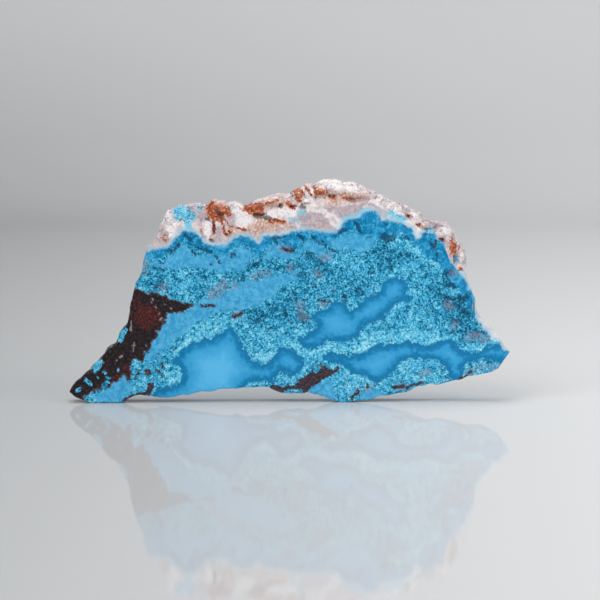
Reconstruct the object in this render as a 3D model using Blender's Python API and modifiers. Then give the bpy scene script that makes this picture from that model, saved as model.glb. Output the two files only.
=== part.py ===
"""Polished slab of shattuckite with a quartz and iron-oxide crust, standing on its lower edge.

The polished face looks along -Y, the sawn back along +Y, +Z is up and the floor is z = 0.
Landmarks are (x, z) in millimetres, measured from the middle of the lower edge.
"""
import math

import bmesh
import bpy
import numpy as np
from mathutils import Matrix, Vector, noise

MM = 0.001
THICKNESS = 8.0
STATIONS = 180
CHAMFER = 0.35
EDGE_INSET = 0.3
BACK_INSET = 0.45
BACK_CRUST_INSET = 1.9
SLOPE = 0.36
DEEPEST_SLOPE = 2.3
ROUGHNESS = 0.42
ROUGH_SCALE = 0.34
LEDGE_DEPTH = 0.9
LEDGES = (0.42, 0.72)
LEVEL = 0.05
CRYSTAL_SIDES = 6
TIP_SHARE = 0.85
FRONT_LUMPINESS = 0.35
TOP_LUMPINESS = 0.5
PIT_LUMPINESS = 0.25
TOP_GROWTHS = 17
TOP_CRYSTALS = 12
SEED = 11
SAWN = 0.08 - THICKNESS / 2
PIT_MIDDLE = 0.4 - THICKNESS / 2
SLAB_NAME = "shattuckite_slab"

# Rings over the broken rim: share of the way out, share of the way down, and how rough.
RIM_COURSES = ((0.12, 0.3, 0.2), (0.45, 0.5, 0.9), (0.78, 0.78, 1.0), (1.0, 1.0, 0.8))

# Lower edge, from the left tip to the right tip; the two level runs are the feet.
LOWER_EDGE = [
    (-55.2, 2.8), (-54.2, 1.9), (-52.8, 1.3), (-51.0, 0.7), (-49.5, 0.0), (-42.0, 0.0), (-40.8, 0.8),
    (-39.0, 1.5), (-37.2, 1.9), (-35.0, 1.9), (-32.5, 1.6), (-30.5, 1.5), (-26.0, 2.1), (-20.0, 3.0),
    (-18.0, 3.5), (-16.0, 3.7), (-13.5, 3.5), (-11.5, 3.9), (-9.0, 4.0), (-6.5, 3.9), (-5.0, 3.7),
    (-4.0, 3.1), (-2.5, 2.5), (-0.5, 2.1), (3.0, 2.1), (4.3, 2.5), (7.0, 2.2), (10.0, 0.9),
    (11.5, 0.4), (12.4, 0.0), (15.6, 0.0), (17.0, 0.3), (20.5, 0.9), (25.0, 1.8), (27.5, 2.5),
    (29.5, 2.7), (31.5, 3.7), (33.5, 4.3), (35.0, 4.8), (37.5, 4.35), (39.0, 4.8), (42.5, 5.4),
    (44.3, 6.2), (47.0, 6.5), (51.0, 7.4), (52.3, 8.3), (53.0, 9.5), (54.0, 11.0), (55.2, 12.6),
]

# Broken right side, from the tip up to the shoulder: x, z and how far in the polish stops.
RIGHT_SIDE = [
    (55.2, 12.6, 0.35), (54.0, 14.0, 0.8), (52.7, 15.5, 1.1), (51.5, 17.0, 1.6), (50.0, 18.8, 1.2),
    (48.6, 20.2, 1.0), (47.7, 21.3, 0.8), (47.0, 22.7, 0.7), (46.6, 24.0, 0.7), (46.5, 25.8, 0.35),
    (45.7, 27.8, 0.4), (45.3, 29.2, 0.7), (44.6, 30.6, 0.9), (43.9, 32.0, 1.2), (43.5, 33.3, 1.7),
]

# Crust along the top, from the right shoulder to the left one.
CRUST_EDGE = [
    (43.5, 33.3), (43.9, 34.8), (43.8, 36.5), (43.5, 38.3), (42.6, 39.6), (41.6, 40.0), (41.2, 41.9),
    (40.2, 43.3), (39.0, 44.0), (37.5, 44.7), (34.5, 45.5), (33.0, 46.3), (32.3, 47.2), (31.0, 47.8),
    (27.0, 49.4), (24.2, 50.5), (23.3, 51.2), (21.8, 51.7), (20.5, 52.5), (17.5, 53.9), (16.0, 54.4),
    (12.5, 55.0), (8.5, 55.3), (7.6, 54.9), (6.5, 54.0), (4.5, 54.0), (3.6, 53.4), (1.1, 52.2),
    (-0.6, 51.4), (-2.0, 51.7), (-3.3, 51.6), (-7.5, 50.4), (-8.3, 50.3), (-9.8, 49.2), (-10.7, 48.5),
    (-12.8, 49.5), (-13.8, 49.7), (-14.6, 49.5), (-15.4, 48.8), (-16.2, 49.5), (-17.5, 50.0),
    (-19.0, 50.2), (-19.8, 49.7), (-20.5, 48.8), (-21.2, 49.2), (-22.5, 49.3), (-24.4, 49.2),
    (-27.5, 48.7), (-29.0, 48.3), (-30.2, 47.6), (-30.8, 46.7), (-31.7, 44.2), (-32.7, 41.6),
    (-33.3, 40.4), (-34.2, 39.9),
]

# The part of that edge which faces up.
TOP_EDGE = CRUST_EDGE[10:-7]

# Where the polish stops below that crust, from the same shoulder to the same shoulder.
POLISH_LIMIT = [
    (41.8, 33.2), (40.6, 34.8), (39.6, 36.5), (38.9, 38.5), (38.6, 40.0), (37.2, 40.7), (36.4, 42.4),
    (34.0, 42.8), (32.6, 43.3), (31.0, 44.7), (28.0, 46.0), (24.5, 48.2), (22.0, 49.6), (20.5, 50.4),
    (18.0, 50.3), (16.0, 49.8), (14.5, 50.0), (13.0, 50.9), (11.0, 50.9), (8.0, 49.7), (6.0, 49.3),
    (3.4, 49.3), (0.5, 48.5), (-2.5, 48.8), (-4.0, 48.4), (-5.5, 47.3), (-7.4, 46.5), (-9.0, 46.7),
    (-10.4, 47.9), (-12.0, 48.7), (-13.8, 48.9), (-14.8, 47.8), (-15.8, 45.9), (-17.6, 45.3),
    (-19.2, 45.7), (-20.4, 47.7), (-22.0, 48.3), (-23.4, 47.4), (-24.2, 45.0), (-26.4, 44.7),
    (-28.3, 43.7), (-29.6, 42.2), (-31.2, 41.1), (-33.0, 39.5), (-34.0, 39.4),
]

# Left side, from the shoulder down to the left tip.
LEFT_SIDE = [
    (-34.2, 39.9), (-35.2, 39.4), (-35.8, 38.2), (-36.1, 36.5), (-36.4, 34.8), (-36.9, 33.0),
    (-38.3, 30.0), (-39.3, 26.8), (-39.9, 24.8), (-39.9, 22.4), (-40.6, 20.2), (-42.6, 17.0),
    (-43.0, 15.3), (-43.7, 14.6), (-45.0, 14.0), (-48.2, 10.4), (-49.9, 8.2), (-53.6, 5.0),
    (-54.6, 3.8), (-55.2, 2.8),
]

# Rounded growths of the crust: x, z, half width, half height, and which mineral.
GROWTHS = [
    (-30.1, 46.2, 2.0, 2.3, "quartz"), (-30.4, 43.1, 2.1, 2.0, "quartz"),
    (-26.2, 46.9, 2.4, 2.2, "quartz"), (-22.7, 47.4, 1.6, 1.7, "quartz"),
    (-18.4, 47.7, 2.3, 2.3, "rust"), (-16.0, 47.9, 1.3, 1.9, "rust"),
    (-8.4, 48.6, 2.0, 1.5, "rust"), (-3.6, 50.1, 2.6, 1.3, "quartz"),
    (0.3, 49.6, 1.1, 0.9, "rust"), (2.6, 51.5, 1.0, 1.4, "rust"),
    (5.1, 52.3, 1.4, 1.6, "quartz"), (7.7, 52.5, 1.7, 1.5, "rust"),
    (11.6, 53.1, 2.7, 1.7, "quartz"), (15.9, 52.3, 2.5, 1.8, "quartz"),
    (19.6, 51.4, 2.0, 1.5, "quartz"), (23.2, 49.7, 2.0, 1.4, "quartz"),
    (27.0, 48.0, 2.3, 1.3, "quartz"), (30.8, 46.4, 1.8, 1.3, "quartz"),
    (34.4, 44.3, 2.1, 1.0, "quartz"), (38.6, 42.5, 1.8, 1.5, "quartz"),
    (41.0, 38.7, 1.3, 2.0, "rust"), (42.8, 36.8, 0.9, 1.8, "quartz"),
]

# Quartz crystals: foot x and z, length, radius, and lean from upright in degrees (+ to the right).
CRYSTALS = [
    (-10.9, 42.9, 7.2, 2.3, -24.0), (-28.0, 44.6, 4.3, 1.3, 14.0), (-24.4, 45.6, 3.6, 1.0, -10.0),
    (-6.0, 46.4, 4.2, 1.2, 40.0), (5.4, 50.2, 4.1, 1.3, -8.0), (9.4, 51.0, 4.2, 1.4, 12.0),
    (13.7, 50.6, 4.2, 1.3, -16.0), (21.2, 48.7, 3.3, 1.2, 26.0), (32.0, 43.4, 3.3, 1.1, 24.0),
    (40.0, 40.2, 3.0, 1.1, 8.0),
]

# Small open hollows in the crust: x, z, half width and half height.
PITS = [
    (-19.5, 40.8, 0.55, 0.45), (-19.0, 43.7, 0.4, 1.3), (-16.1, 42.4, 0.6, 0.5), (-14.9, 42.8, 0.55, 0.4),
    (-20.6, 45.9, 0.7, 0.5), (-7.3, 46.8, 2.0, 0.6), (-2.3, 49.2, 0.5, 0.6), (0.9, 48.9, 0.9, 0.5),
    (3.9, 49.5, 1.1, 0.6), (10.6, 51.3, 0.9, 0.7), (15.4, 50.6, 1.5, 0.5), (32.0, 44.2, 0.8, 0.6),
    (37.8, 40.7, 0.9, 0.45), (41.5, 35.8, 0.6, 1.0), (29.8, 46.5, 0.7, 0.5),
]


def clear_scene():
    for old in list(bpy.data.objects):
        bpy.data.objects.remove(old, do_unlink=True)


def new_collection(name):
    made = bpy.data.collections.new(name)
    bpy.context.scene.collection.children.link(made)
    return made


def mineral(name, colour, roughness):
    """A plain surface in one mineral's colour."""
    made = bpy.data.materials.new(name)
    made.use_nodes = True
    shader = made.node_tree.nodes["Principled BSDF"]
    shader.inputs["Base Color"].default_value = (*colour, 1.0)
    shader.inputs["Roughness"].default_value = roughness
    shader.inputs["Metallic"].default_value = 0.0
    return made


def along(points, count):
    """Samples evenly spaced along the straight runs through the points, the last end left out."""
    points = np.array(points, float)
    steps = np.hypot(*np.diff(points[:, :2], axis=0).T)
    travelled = np.concatenate([[0.0], np.cumsum(steps)])
    wanted = np.linspace(0.0, travelled[-1], count, endpoint=False)
    return np.column_stack([np.interp(wanted, travelled, points[:, k]) for k in range(points.shape[1])])


def run_length(points):
    """Length of the straight runs through the points."""
    points = np.array(points, float)[:, :2]
    return np.hypot(*np.diff(points, axis=0).T).sum()


def outward(ring):
    """Unit vectors pointing out of a ring of points that runs anticlockwise seen from the front."""
    tangent = np.roll(ring, -1, axis=0) - np.roll(ring, 1, axis=0)
    normal = np.column_stack([tangent[:, 1], -tangent[:, 0]])
    return normal / np.hypot(*normal.T)[:, None]


def outlines():
    """The silhouette, the edge of the polish, the edge of the sawn back, and the level feet."""
    runs = [LOWER_EDGE, RIGHT_SIDE, CRUST_EDGE, LEFT_SIDE]
    total = sum(run_length(run) for run in runs)
    counts = [round(STATIONS * run_length(run) / total) for run in runs]
    lower, right, crust, left = [along(run, count) for run, count in zip(runs, counts)]
    silhouette = np.vstack([lower, right[:, :2], crust, left])
    normal = outward(silhouette)
    plain = np.full(len(silhouette), EDGE_INSET)
    plain[counts[0]:counts[0] + counts[1]] = right[:, 2]
    polish = silhouette - normal * plain[:, None]
    start = counts[0] + counts[1]
    crusted = np.zeros(len(silhouette), bool)
    crusted[start:start + counts[2]] = True
    polish[crusted] = along(POLISH_LIMIT, counts[2])
    fade = np.convolve(np.tile(crusted, 3), np.ones(9) / 9, "same")[len(crusted):2 * len(crusted)]
    back_inset = BACK_INSET + (BACK_CRUST_INSET - BACK_INSET) * fade
    back = silhouette - normal * back_inset[:, None]
    feet = silhouette[:, 1] < LEVEL
    return silhouette, polish, back, feet


def grain(points, seed):
    """Seeded noise between -1 and 1, one value for each point in millimetres."""
    shift = Vector((seed * 7.3, seed * 3.1, seed * 5.7))
    return np.array([noise.noise(Vector(p) * ROUGH_SCALE + shift) for p in points])


def courses():
    """Rings of points from the polished face over the broken rim to the sawn back."""
    silhouette, polish, back, feet = outlines()
    normal = outward(silhouette)
    reach = np.hypot(*(silhouette - polish).T)
    drop = np.minimum(CHAMFER + SLOPE * (reach - EDGE_INSET), DEEPEST_SLOPE)
    front = -THICKNESS / 2
    rear = THICKNESS / 2
    rings = [(polish, np.full(len(polish), front), 0.0)]
    for share, sink, rough in RIM_COURSES:
        rings.append((polish + (silhouette - polish) * share, front + drop * sink, rough))
    rim = len(RIM_COURSES)
    for depth in LEDGES:
        flat = np.column_stack([silhouette[:, 0], np.full(len(back), depth * THICKNESS), silhouette[:, 1]])
        step = LEDGE_DEPTH * (0.5 + 0.9 * grain(flat * 0.55, 20))
        step[feet] = 0.0
        ledge = silhouette - normal * np.clip(step, 0.0, LEDGE_DEPTH)[:, None]
        rings.append((ledge, np.full(len(back), front + THICKNESS * depth), 1.0))
    rings.append(((silhouette + 2.0 * back) / 3.0, np.full(len(back), rear - CHAMFER), 0.5))
    rings.append((back, np.full(len(back), rear), 0.0))
    made = []
    for number, (ring, depth, rough) in enumerate(rings):
        place = np.column_stack([ring[:, 0], depth, ring[:, 1]])
        amount = np.minimum(ROUGHNESS, 0.25 + 0.2 * reach) * rough * grain(place, number + 1)
        amount[feet] = 0.0
        place[:, 0] += normal[:, 0] * amount
        place[:, 2] += normal[:, 1] * amount
        if 1 <= number <= rim:
            place[:, 1] += np.where(reach > 1.0, 1.1, 0.1) * amount
            place[:, 1] = np.maximum(place[:, 1], front + LEVEL)
        if rim <= number < len(rings) - 1:
            place[feet, 2] = 0.0
        place[:, 2] = np.maximum(place[:, 2], 0.0)
        made.append(place)
    return made


def loft(rings, name):
    """A closed skin through rings of equally many points, with a flat cap on each end."""
    count = len(rings[0])
    points = np.vstack(rings) * MM
    faces = [list(range(count))]
    for row in range(len(rings) - 1):
        for k in range(count):
            right = (k + 1) % count
            near = row * count
            far = near + count
            faces.append([near + k, far + k, far + right, near + right])
    last = (len(rings) - 1) * count
    faces.append([last + k for k in reversed(range(count))])
    mesh = bpy.data.meshes.new(name)
    mesh.from_pydata(points.tolist(), [], faces)
    mesh.update()
    return bpy.data.objects.new(name, mesh)


def helper(made, group):
    """A solid that only shapes the slab."""
    group.objects.link(made)
    made.hide_render = True
    made.display_type = "WIRE"
    return made


def rounded(name, middle, half_sizes, subdivisions, roughness, front):
    """A lumpy ball of the given half sizes around a middle, cut flat where it would pass the front."""
    middle = Vector(middle)
    half_sizes = Vector(half_sizes)
    shape = bmesh.new()
    bmesh.ops.create_icosphere(shape, subdivisions=subdivisions, radius=1.0)
    for point in shape.verts:
        reach = point.co * half_sizes
        swell = 1.0 + roughness * noise.noise((middle + reach) * 0.9)
        point.co = middle + reach * swell
        point.co.y = max(point.co.y, front)
        point.co *= MM
    mesh = bpy.data.meshes.new(name)
    shape.to_mesh(mesh)
    shape.free()
    return bpy.data.objects.new(name, mesh)


def crystal(name, foot, length, radius, lean):
    """A six-sided prism with a pointed end, turned from its half profile and set on its foot."""
    tip = radius * TIP_SHARE
    profile = [(0.0, length), (radius * 0.96, length - tip), (radius, 0.0), (0.0, 0.0)]
    mesh = bpy.data.meshes.new(name)
    points = [(across * MM, 0.0, up * MM) for across, up in profile]
    mesh.from_pydata(points, [(0, 1), (1, 2), (2, 3)], [])
    made = bpy.data.objects.new(name, mesh)
    turned = made.modifiers.new("six sides", "SCREW")
    turned.steps = CRYSTAL_SIDES
    turned.render_steps = CRYSTAL_SIDES
    turned.use_merge_vertices = True
    turned.merge_threshold = 0.00001
    turned.use_smooth_shade = False
    spin = Matrix.Rotation(math.radians(30.0), 4, "Z")
    tilt = Matrix.Rotation(math.radians(lean), 4, "Y")
    made.matrix_world = Matrix.Translation(Vector(foot) * MM) @ tilt @ spin
    return made


def add_growths(group, minerals):
    for number, (x, z, wide, high, kind) in enumerate(GROWTHS):
        deep = min(wide, high) * 1.05
        middle = (x, 0.3 + deep - THICKNESS / 2, z)
        name = f"{kind}_growth_{number + 1:02d}"
        subdivisions = 3 if wide > 2.25 else 2
        half_sizes = (wide, deep, high)
        lump = helper(rounded(name, middle, half_sizes, subdivisions, FRONT_LUMPINESS, SAWN), group)
        lump.data.materials.append(minerals[kind])


def add_crystals(group, minerals):
    for number, (x, z, length, radius, lean) in enumerate(CRYSTALS):
        name = f"quartz_crystal_{number + 1:02d}"
        foot = (x, -THICKNESS / 2 + radius + 0.12, z)
        prism = helper(crystal(name, foot, length, radius, lean), group)
        prism.data.materials.append(minerals["quartz"])


def add_top_crust(group, minerals, chance):
    """Lumps and small crystals over the top of the crust, from the middle to the sawn back."""
    edge = along(TOP_EDGE, TOP_GROWTHS + TOP_CRYSTALS)
    order = chance.permutation(len(edge))
    for number, place in enumerate(order[:TOP_GROWTHS]):
        x, z = edge[place]
        size = chance.uniform(0.9, 1.35)
        middle = (x, chance.uniform(-0.6, THICKNESS / 2 - 2.2), z - size * 0.8)
        name = f"top_growth_{number + 1:02d}"
        half_sizes = (size * 1.8, size * 1.3, size)
        lump = helper(rounded(name, middle, half_sizes, 2, TOP_LUMPINESS, SAWN), group)
        lump.data.materials.append(minerals["quartz"])
    for number, place in enumerate(order[TOP_GROWTHS:]):
        x, z = edge[place]
        radius = chance.uniform(0.6, 0.95)
        foot = (x, chance.uniform(-0.8, THICKNESS / 2 - 1.6), z - 2.6)
        name = f"top_crystal_{number + 1:02d}"
        prism = helper(crystal(name, foot, 2.7, radius, chance.uniform(-20.0, 20.0)), group)
        prism.data.materials.append(minerals["quartz"])


def add_pits(group, minerals):
    for number, (x, z, wide, high) in enumerate(PITS):
        deep = 0.7 + min(wide, high)
        name = f"pit_{number + 1:02d}"
        half_sizes = (wide, deep, high)
        hollow = rounded(name, (x, PIT_MIDDLE, z), half_sizes, 2, PIT_LUMPINESS, -THICKNESS)
        helper(hollow, group)
        hollow.data.materials.append(minerals["rust"])


def combine(solid, group, operation, title):
    """Joins a group of solids to the slab, or cuts them from it, with the exact solver."""
    step = solid.modifiers.new(title, "BOOLEAN")
    step.operation = operation
    step.operand_type = "COLLECTION"
    step.collection = group
    step.solver = "EXACT"
    step.material_mode = "TRANSFER"


def build():
    clear_scene()
    parts = new_collection("shattuckite")
    growing = new_collection("crust_growths")
    hollows = new_collection("crust_hollows")
    minerals = {
        "blue": mineral("shattuckite_blue", (0.05, 0.36, 0.62), 0.15),
        "quartz": mineral("quartz_white", (0.74, 0.70, 0.70), 0.45),
        "rust": mineral("iron_oxide_rust", (0.33, 0.09, 0.03), 0.8),
    }
    slab = loft(courses(), SLAB_NAME)
    parts.objects.link(slab)
    slab.data.materials.append(minerals["blue"])
    add_growths(growing, minerals)
    add_crystals(growing, minerals)
    add_top_crust(growing, minerals, np.random.default_rng(SEED))
    add_pits(hollows, minerals)
    combine(slab, growing, "UNION", "crust grown on")
    combine(slab, hollows, "DIFFERENCE", "open pits")


build()
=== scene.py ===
import math

import bpy
import numpy as np
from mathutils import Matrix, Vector


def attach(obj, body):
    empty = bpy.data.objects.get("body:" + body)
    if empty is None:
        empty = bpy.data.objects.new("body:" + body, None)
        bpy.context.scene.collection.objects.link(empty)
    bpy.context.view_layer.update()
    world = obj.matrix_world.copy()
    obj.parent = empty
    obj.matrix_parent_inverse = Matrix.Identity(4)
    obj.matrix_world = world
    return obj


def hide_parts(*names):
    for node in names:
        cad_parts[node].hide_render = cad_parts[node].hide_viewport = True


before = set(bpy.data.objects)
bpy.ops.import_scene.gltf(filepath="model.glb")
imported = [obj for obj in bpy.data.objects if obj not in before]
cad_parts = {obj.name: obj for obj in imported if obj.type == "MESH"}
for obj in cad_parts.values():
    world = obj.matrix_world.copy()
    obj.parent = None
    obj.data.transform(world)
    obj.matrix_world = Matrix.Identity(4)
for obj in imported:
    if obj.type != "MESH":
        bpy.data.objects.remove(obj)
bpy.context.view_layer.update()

# A polished slab of shattuckite, 8 mm thick, standing on its lower edge. The polished face looks
# along -Y and the sawn back along +Y. Outlines below are (x, z) from the middle of the lower
# edge. Lengths are in millimetres, except where a comment says metres.

NODE = "shattuckite_slab"
MM = 0.001  # a millimetre in metres
THICK = 8.0
FRONT = -THICK / 2
REAR = THICK / 2
PROUD = 0.18  # how far the crust may stand out of the polished plane

# The rim. Insets are how far inside the outline a face stops.
CHAMFER = 0.35  # depth of the rounding where the rim is clean
EDGE_INSET = 0.3  # of the polished face
BACK_INSET = 0.45  # of the sawn back
BACK_CRUST_INSET = 1.9  # of the sawn back, behind the crust
SLOPE = 0.36  # how much deeper a broken rim starts for each mm that the polish stops short
DEEPEST_SLOPE = 2.3
LEDGE_DEPTH = 0.9
RIM_WANDER = 0.10  # how far noise moves the rim in or out
TIP = 2.0  # how far from a tip the slab starts to close

# The crust.
ARCH = 0.35  # height of its top over a plain slant
CRUST_LENGTH = 95.0
CRUST_TAPER = 2.2  # length over which its relief dies out at each end
PIT_DEPTH = 1.1
ROOT_DEPTH = 2.2  # how far its hidden side reaches into the slab

# The bands' slant through the slab, per mm of depth, and the size and reach of their bends.
SLANT_X = 0.22
SLANT_Z = -0.12
BEND_SIZE = 9.0
BEND = 1.6

NO_MARK = -9.0  # the depth of a point that is far from every stroke
MERGE = 0.002  # points closer than this are one
TINY = 1e-9
CELL_WEIGHTS = (127.1, 311.7, 74.7)
SEED_WEIGHT = 53.3
SINE_STRETCH = 43758.5453

ORIGIN = (0.0, 0.0, 0.0)
SAW_CENTRE = (-40.0, 0.0, 190.0)  # added to a place, so the blade's middle is at x 40, z -190

# For each kind of quartz stain, and for the hollows, whose dark rust brown is deepened as painted
# shade: wander, grain and softness of its edge.
QUARTZ_STAINS_AND_SHADE = {
    "White": (0.5, 0.8, 0.5), "Lilac": (0.6, 0.6, 0.8), "Tan": (0.6, 0.7, 0.8),
    "Rust": (0.4, 1.3, 0.15), "Hollow": (0.25, 1.6, 0.15),
}

# Place and size in metres, and power in watts.
LAMPS = {
    "front_left_box": ((-0.55, -0.75, 0.75), (0.8, 0.8), 6.6),
    "front_right_box": ((0.75, -0.6, 0.5), (0.7, 0.7), 3.4),
    "top_box": ((-0.1, 0.1, 1.0), (0.9, 0.6), 5.0),
}

# The slab's lower edge, from the left tip to the right one.
LOWER_EDGE = [
    (-55.2, 2.8), (-54.2, 1.9), (-52.8, 1.3), (-51.0, 0.7), (-49.5, 0.0), (-42.0, 0.0),
    (-40.8, 0.8), (-39.0, 1.5), (-37.2, 1.9), (-35.0, 1.9), (-32.5, 1.6), (-30.5, 1.5),
    (-26.0, 2.1), (-20.0, 3.0), (-18.0, 3.5), (-16.0, 3.7), (-13.5, 3.5), (-11.5, 3.9), (-9.0, 4.0),
    (-6.5, 3.9), (-5.0, 3.7), (-4.0, 3.1), (-2.5, 2.5), (-0.5, 2.1), (3.0, 2.1), (4.3, 2.5),
    (7.0, 2.2), (10.0, 0.9), (11.5, 0.4), (12.4, 0.0), (15.6, 0.0), (17.0, 0.3), (20.5, 0.9),
    (25.0, 1.8), (27.5, 2.5), (29.5, 2.7), (31.5, 3.7), (33.5, 4.3), (35.0, 4.8), (37.5, 4.35),
    (39.0, 4.8), (42.5, 5.4), (44.3, 6.2), (47.0, 6.5), (51.0, 7.4), (52.3, 8.3), (53.0, 9.5),
    (54.0, 11.0), (55.2, 12.6),
]

# The broken right side, up from the tip: x, z and how far in the polish stops.
RIGHT_SIDE = [
    (55.2, 12.6, 0.35), (54.0, 14.0, 0.8), (52.7, 15.5, 1.1), (51.5, 17.0, 1.6), (50.0, 18.8, 1.2),
    (48.6, 20.2, 1.0), (47.7, 21.3, 0.8), (47.0, 22.7, 0.7), (46.6, 24.0, 0.7), (46.5, 25.8, 0.35),
    (45.7, 27.8, 0.4), (45.3, 29.2, 0.7), (44.6, 30.6, 0.9), (43.9, 32.0, 1.2), (43.5, 33.3, 1.7),
]

# The crust's edge, and where the polish stops below it, from the right shoulder to the left.
CRUST_EDGE = [
    (43.5, 33.3), (43.9, 34.8), (43.8, 36.5), (43.5, 38.3), (42.6, 39.6), (41.6, 40.0),
    (41.2, 41.9), (40.2, 43.3), (39.0, 44.0), (37.5, 44.7), (34.5, 45.5), (33.0, 46.3),
    (32.3, 47.2), (31.0, 47.8), (27.0, 49.4), (24.2, 50.5), (23.3, 51.2), (21.8, 51.7),
    (20.5, 52.5), (17.5, 53.9), (16.0, 54.4), (12.5, 55.0), (8.5, 55.3), (7.6, 54.9), (6.5, 54.0),
    (4.5, 54.0), (3.6, 53.4), (1.1, 52.2), (-0.6, 51.4), (-2.0, 51.7), (-3.3, 51.6), (-7.5, 50.4),
    (-8.3, 50.3), (-9.8, 49.2), (-10.7, 48.5), (-12.8, 49.5), (-13.8, 49.7), (-14.6, 49.5),
    (-15.4, 48.8), (-16.2, 49.5), (-17.5, 50.0), (-19.0, 50.2), (-19.8, 49.7), (-20.5, 48.8),
    (-21.2, 49.2), (-22.5, 49.3), (-24.4, 49.2), (-27.5, 48.7), (-29.0, 48.3), (-30.2, 47.6),
    (-30.8, 46.7), (-31.7, 44.2), (-32.7, 41.6), (-33.3, 40.4), (-34.2, 39.9),
]
POLISH_LIMIT = [
    (41.8, 33.2), (40.6, 34.8), (39.6, 36.5), (38.9, 38.5), (38.6, 40.0), (37.2, 40.7),
    (36.4, 42.4), (34.0, 42.8), (32.6, 43.3), (31.0, 44.7), (28.0, 46.0), (24.5, 48.2),
    (22.0, 49.6), (20.5, 50.4), (18.0, 50.3), (16.0, 49.8), (14.5, 50.0), (13.0, 50.9),
    (11.0, 50.9), (8.0, 49.7), (6.0, 49.3), (3.4, 49.3), (0.5, 48.5), (-2.5, 48.8), (-4.0, 48.4),
    (-5.5, 47.3), (-7.4, 46.5), (-9.0, 46.7), (-10.4, 47.9), (-12.0, 48.7), (-13.8, 48.9),
    (-14.8, 47.8), (-15.8, 45.9), (-17.6, 45.3), (-19.2, 45.7), (-20.4, 47.7), (-22.0, 48.3),
    (-23.4, 47.4), (-24.2, 45.0), (-26.4, 44.7), (-28.3, 43.7), (-29.6, 42.2), (-31.2, 41.1),
    (-33.0, 39.5), (-34.0, 39.4),
]

# From the left shoulder down to the left tip.
LEFT_SIDE = [
    (-34.2, 39.9), (-35.2, 39.4), (-35.8, 38.2), (-36.1, 36.5), (-36.4, 34.8), (-36.9, 33.0),
    (-38.3, 30.0), (-39.3, 26.8), (-39.9, 24.8), (-39.9, 22.4), (-40.6, 20.2), (-42.6, 17.0),
    (-43.0, 15.3), (-43.7, 14.6), (-45.0, 14.0), (-48.2, 10.4), (-49.9, 8.2), (-53.6, 5.0),
    (-54.6, 3.8), (-55.2, 2.8),
]

# Rounded growths of the crust: x, z, half width, half height, and which mineral.
GROWTHS = [
    (-30.1, 46.2, 2.0, 2.3, "quartz"), (-30.4, 43.1, 2.1, 2.0, "quartz"),
    (-26.2, 46.9, 2.4, 2.2, "quartz"), (-22.7, 47.4, 1.6, 1.7, "quartz"),
    (-18.4, 47.7, 2.3, 2.3, "rust"), (-16.0, 47.9, 1.3, 1.9, "rust"),
    (-8.4, 48.6, 2.0, 1.5, "rust"), (-3.6, 50.1, 2.6, 1.3, "quartz"), (0.3, 49.6, 1.1, 0.9, "rust"),
    (2.6, 51.5, 1.0, 1.4, "rust"), (5.1, 52.3, 1.4, 1.6, "quartz"), (7.7, 52.5, 1.7, 1.5, "rust"),
    (11.6, 53.1, 2.7, 1.7, "quartz"), (15.9, 52.3, 2.5, 1.8, "quartz"),
    (19.6, 51.4, 2.0, 1.5, "quartz"), (23.2, 49.7, 2.0, 1.4, "quartz"),
    (27.0, 48.0, 2.3, 1.3, "quartz"), (30.8, 46.4, 1.8, 1.3, "quartz"),
    (34.4, 44.3, 2.1, 1.0, "quartz"), (38.6, 42.5, 1.8, 1.5, "quartz"),
    (41.0, 38.7, 1.3, 2.0, "rust"), (42.8, 36.8, 0.9, 1.8, "quartz"),
]

# Small open hollows in the crust: x, z, half width and half height.
PITS = [
    (-19.5, 40.8, 0.55, 0.45), (-19.0, 43.7, 0.4, 1.3), (-16.1, 42.4, 0.6, 0.5),
    (-14.9, 42.8, 0.55, 0.4), (-20.6, 45.9, 0.7, 0.5), (-7.3, 46.8, 2.0, 0.6),
    (-2.3, 49.2, 0.5, 0.6), (0.9, 48.9, 0.9, 0.5), (3.9, 49.5, 1.1, 0.6), (10.6, 51.3, 0.9, 0.7),
    (15.4, 50.6, 1.5, 0.5), (32.0, 44.2, 0.8, 0.6), (37.8, 40.7, 0.9, 0.45), (41.5, 35.8, 0.6, 1.0),
    (29.8, 46.5, 0.7, 0.5),
]

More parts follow.
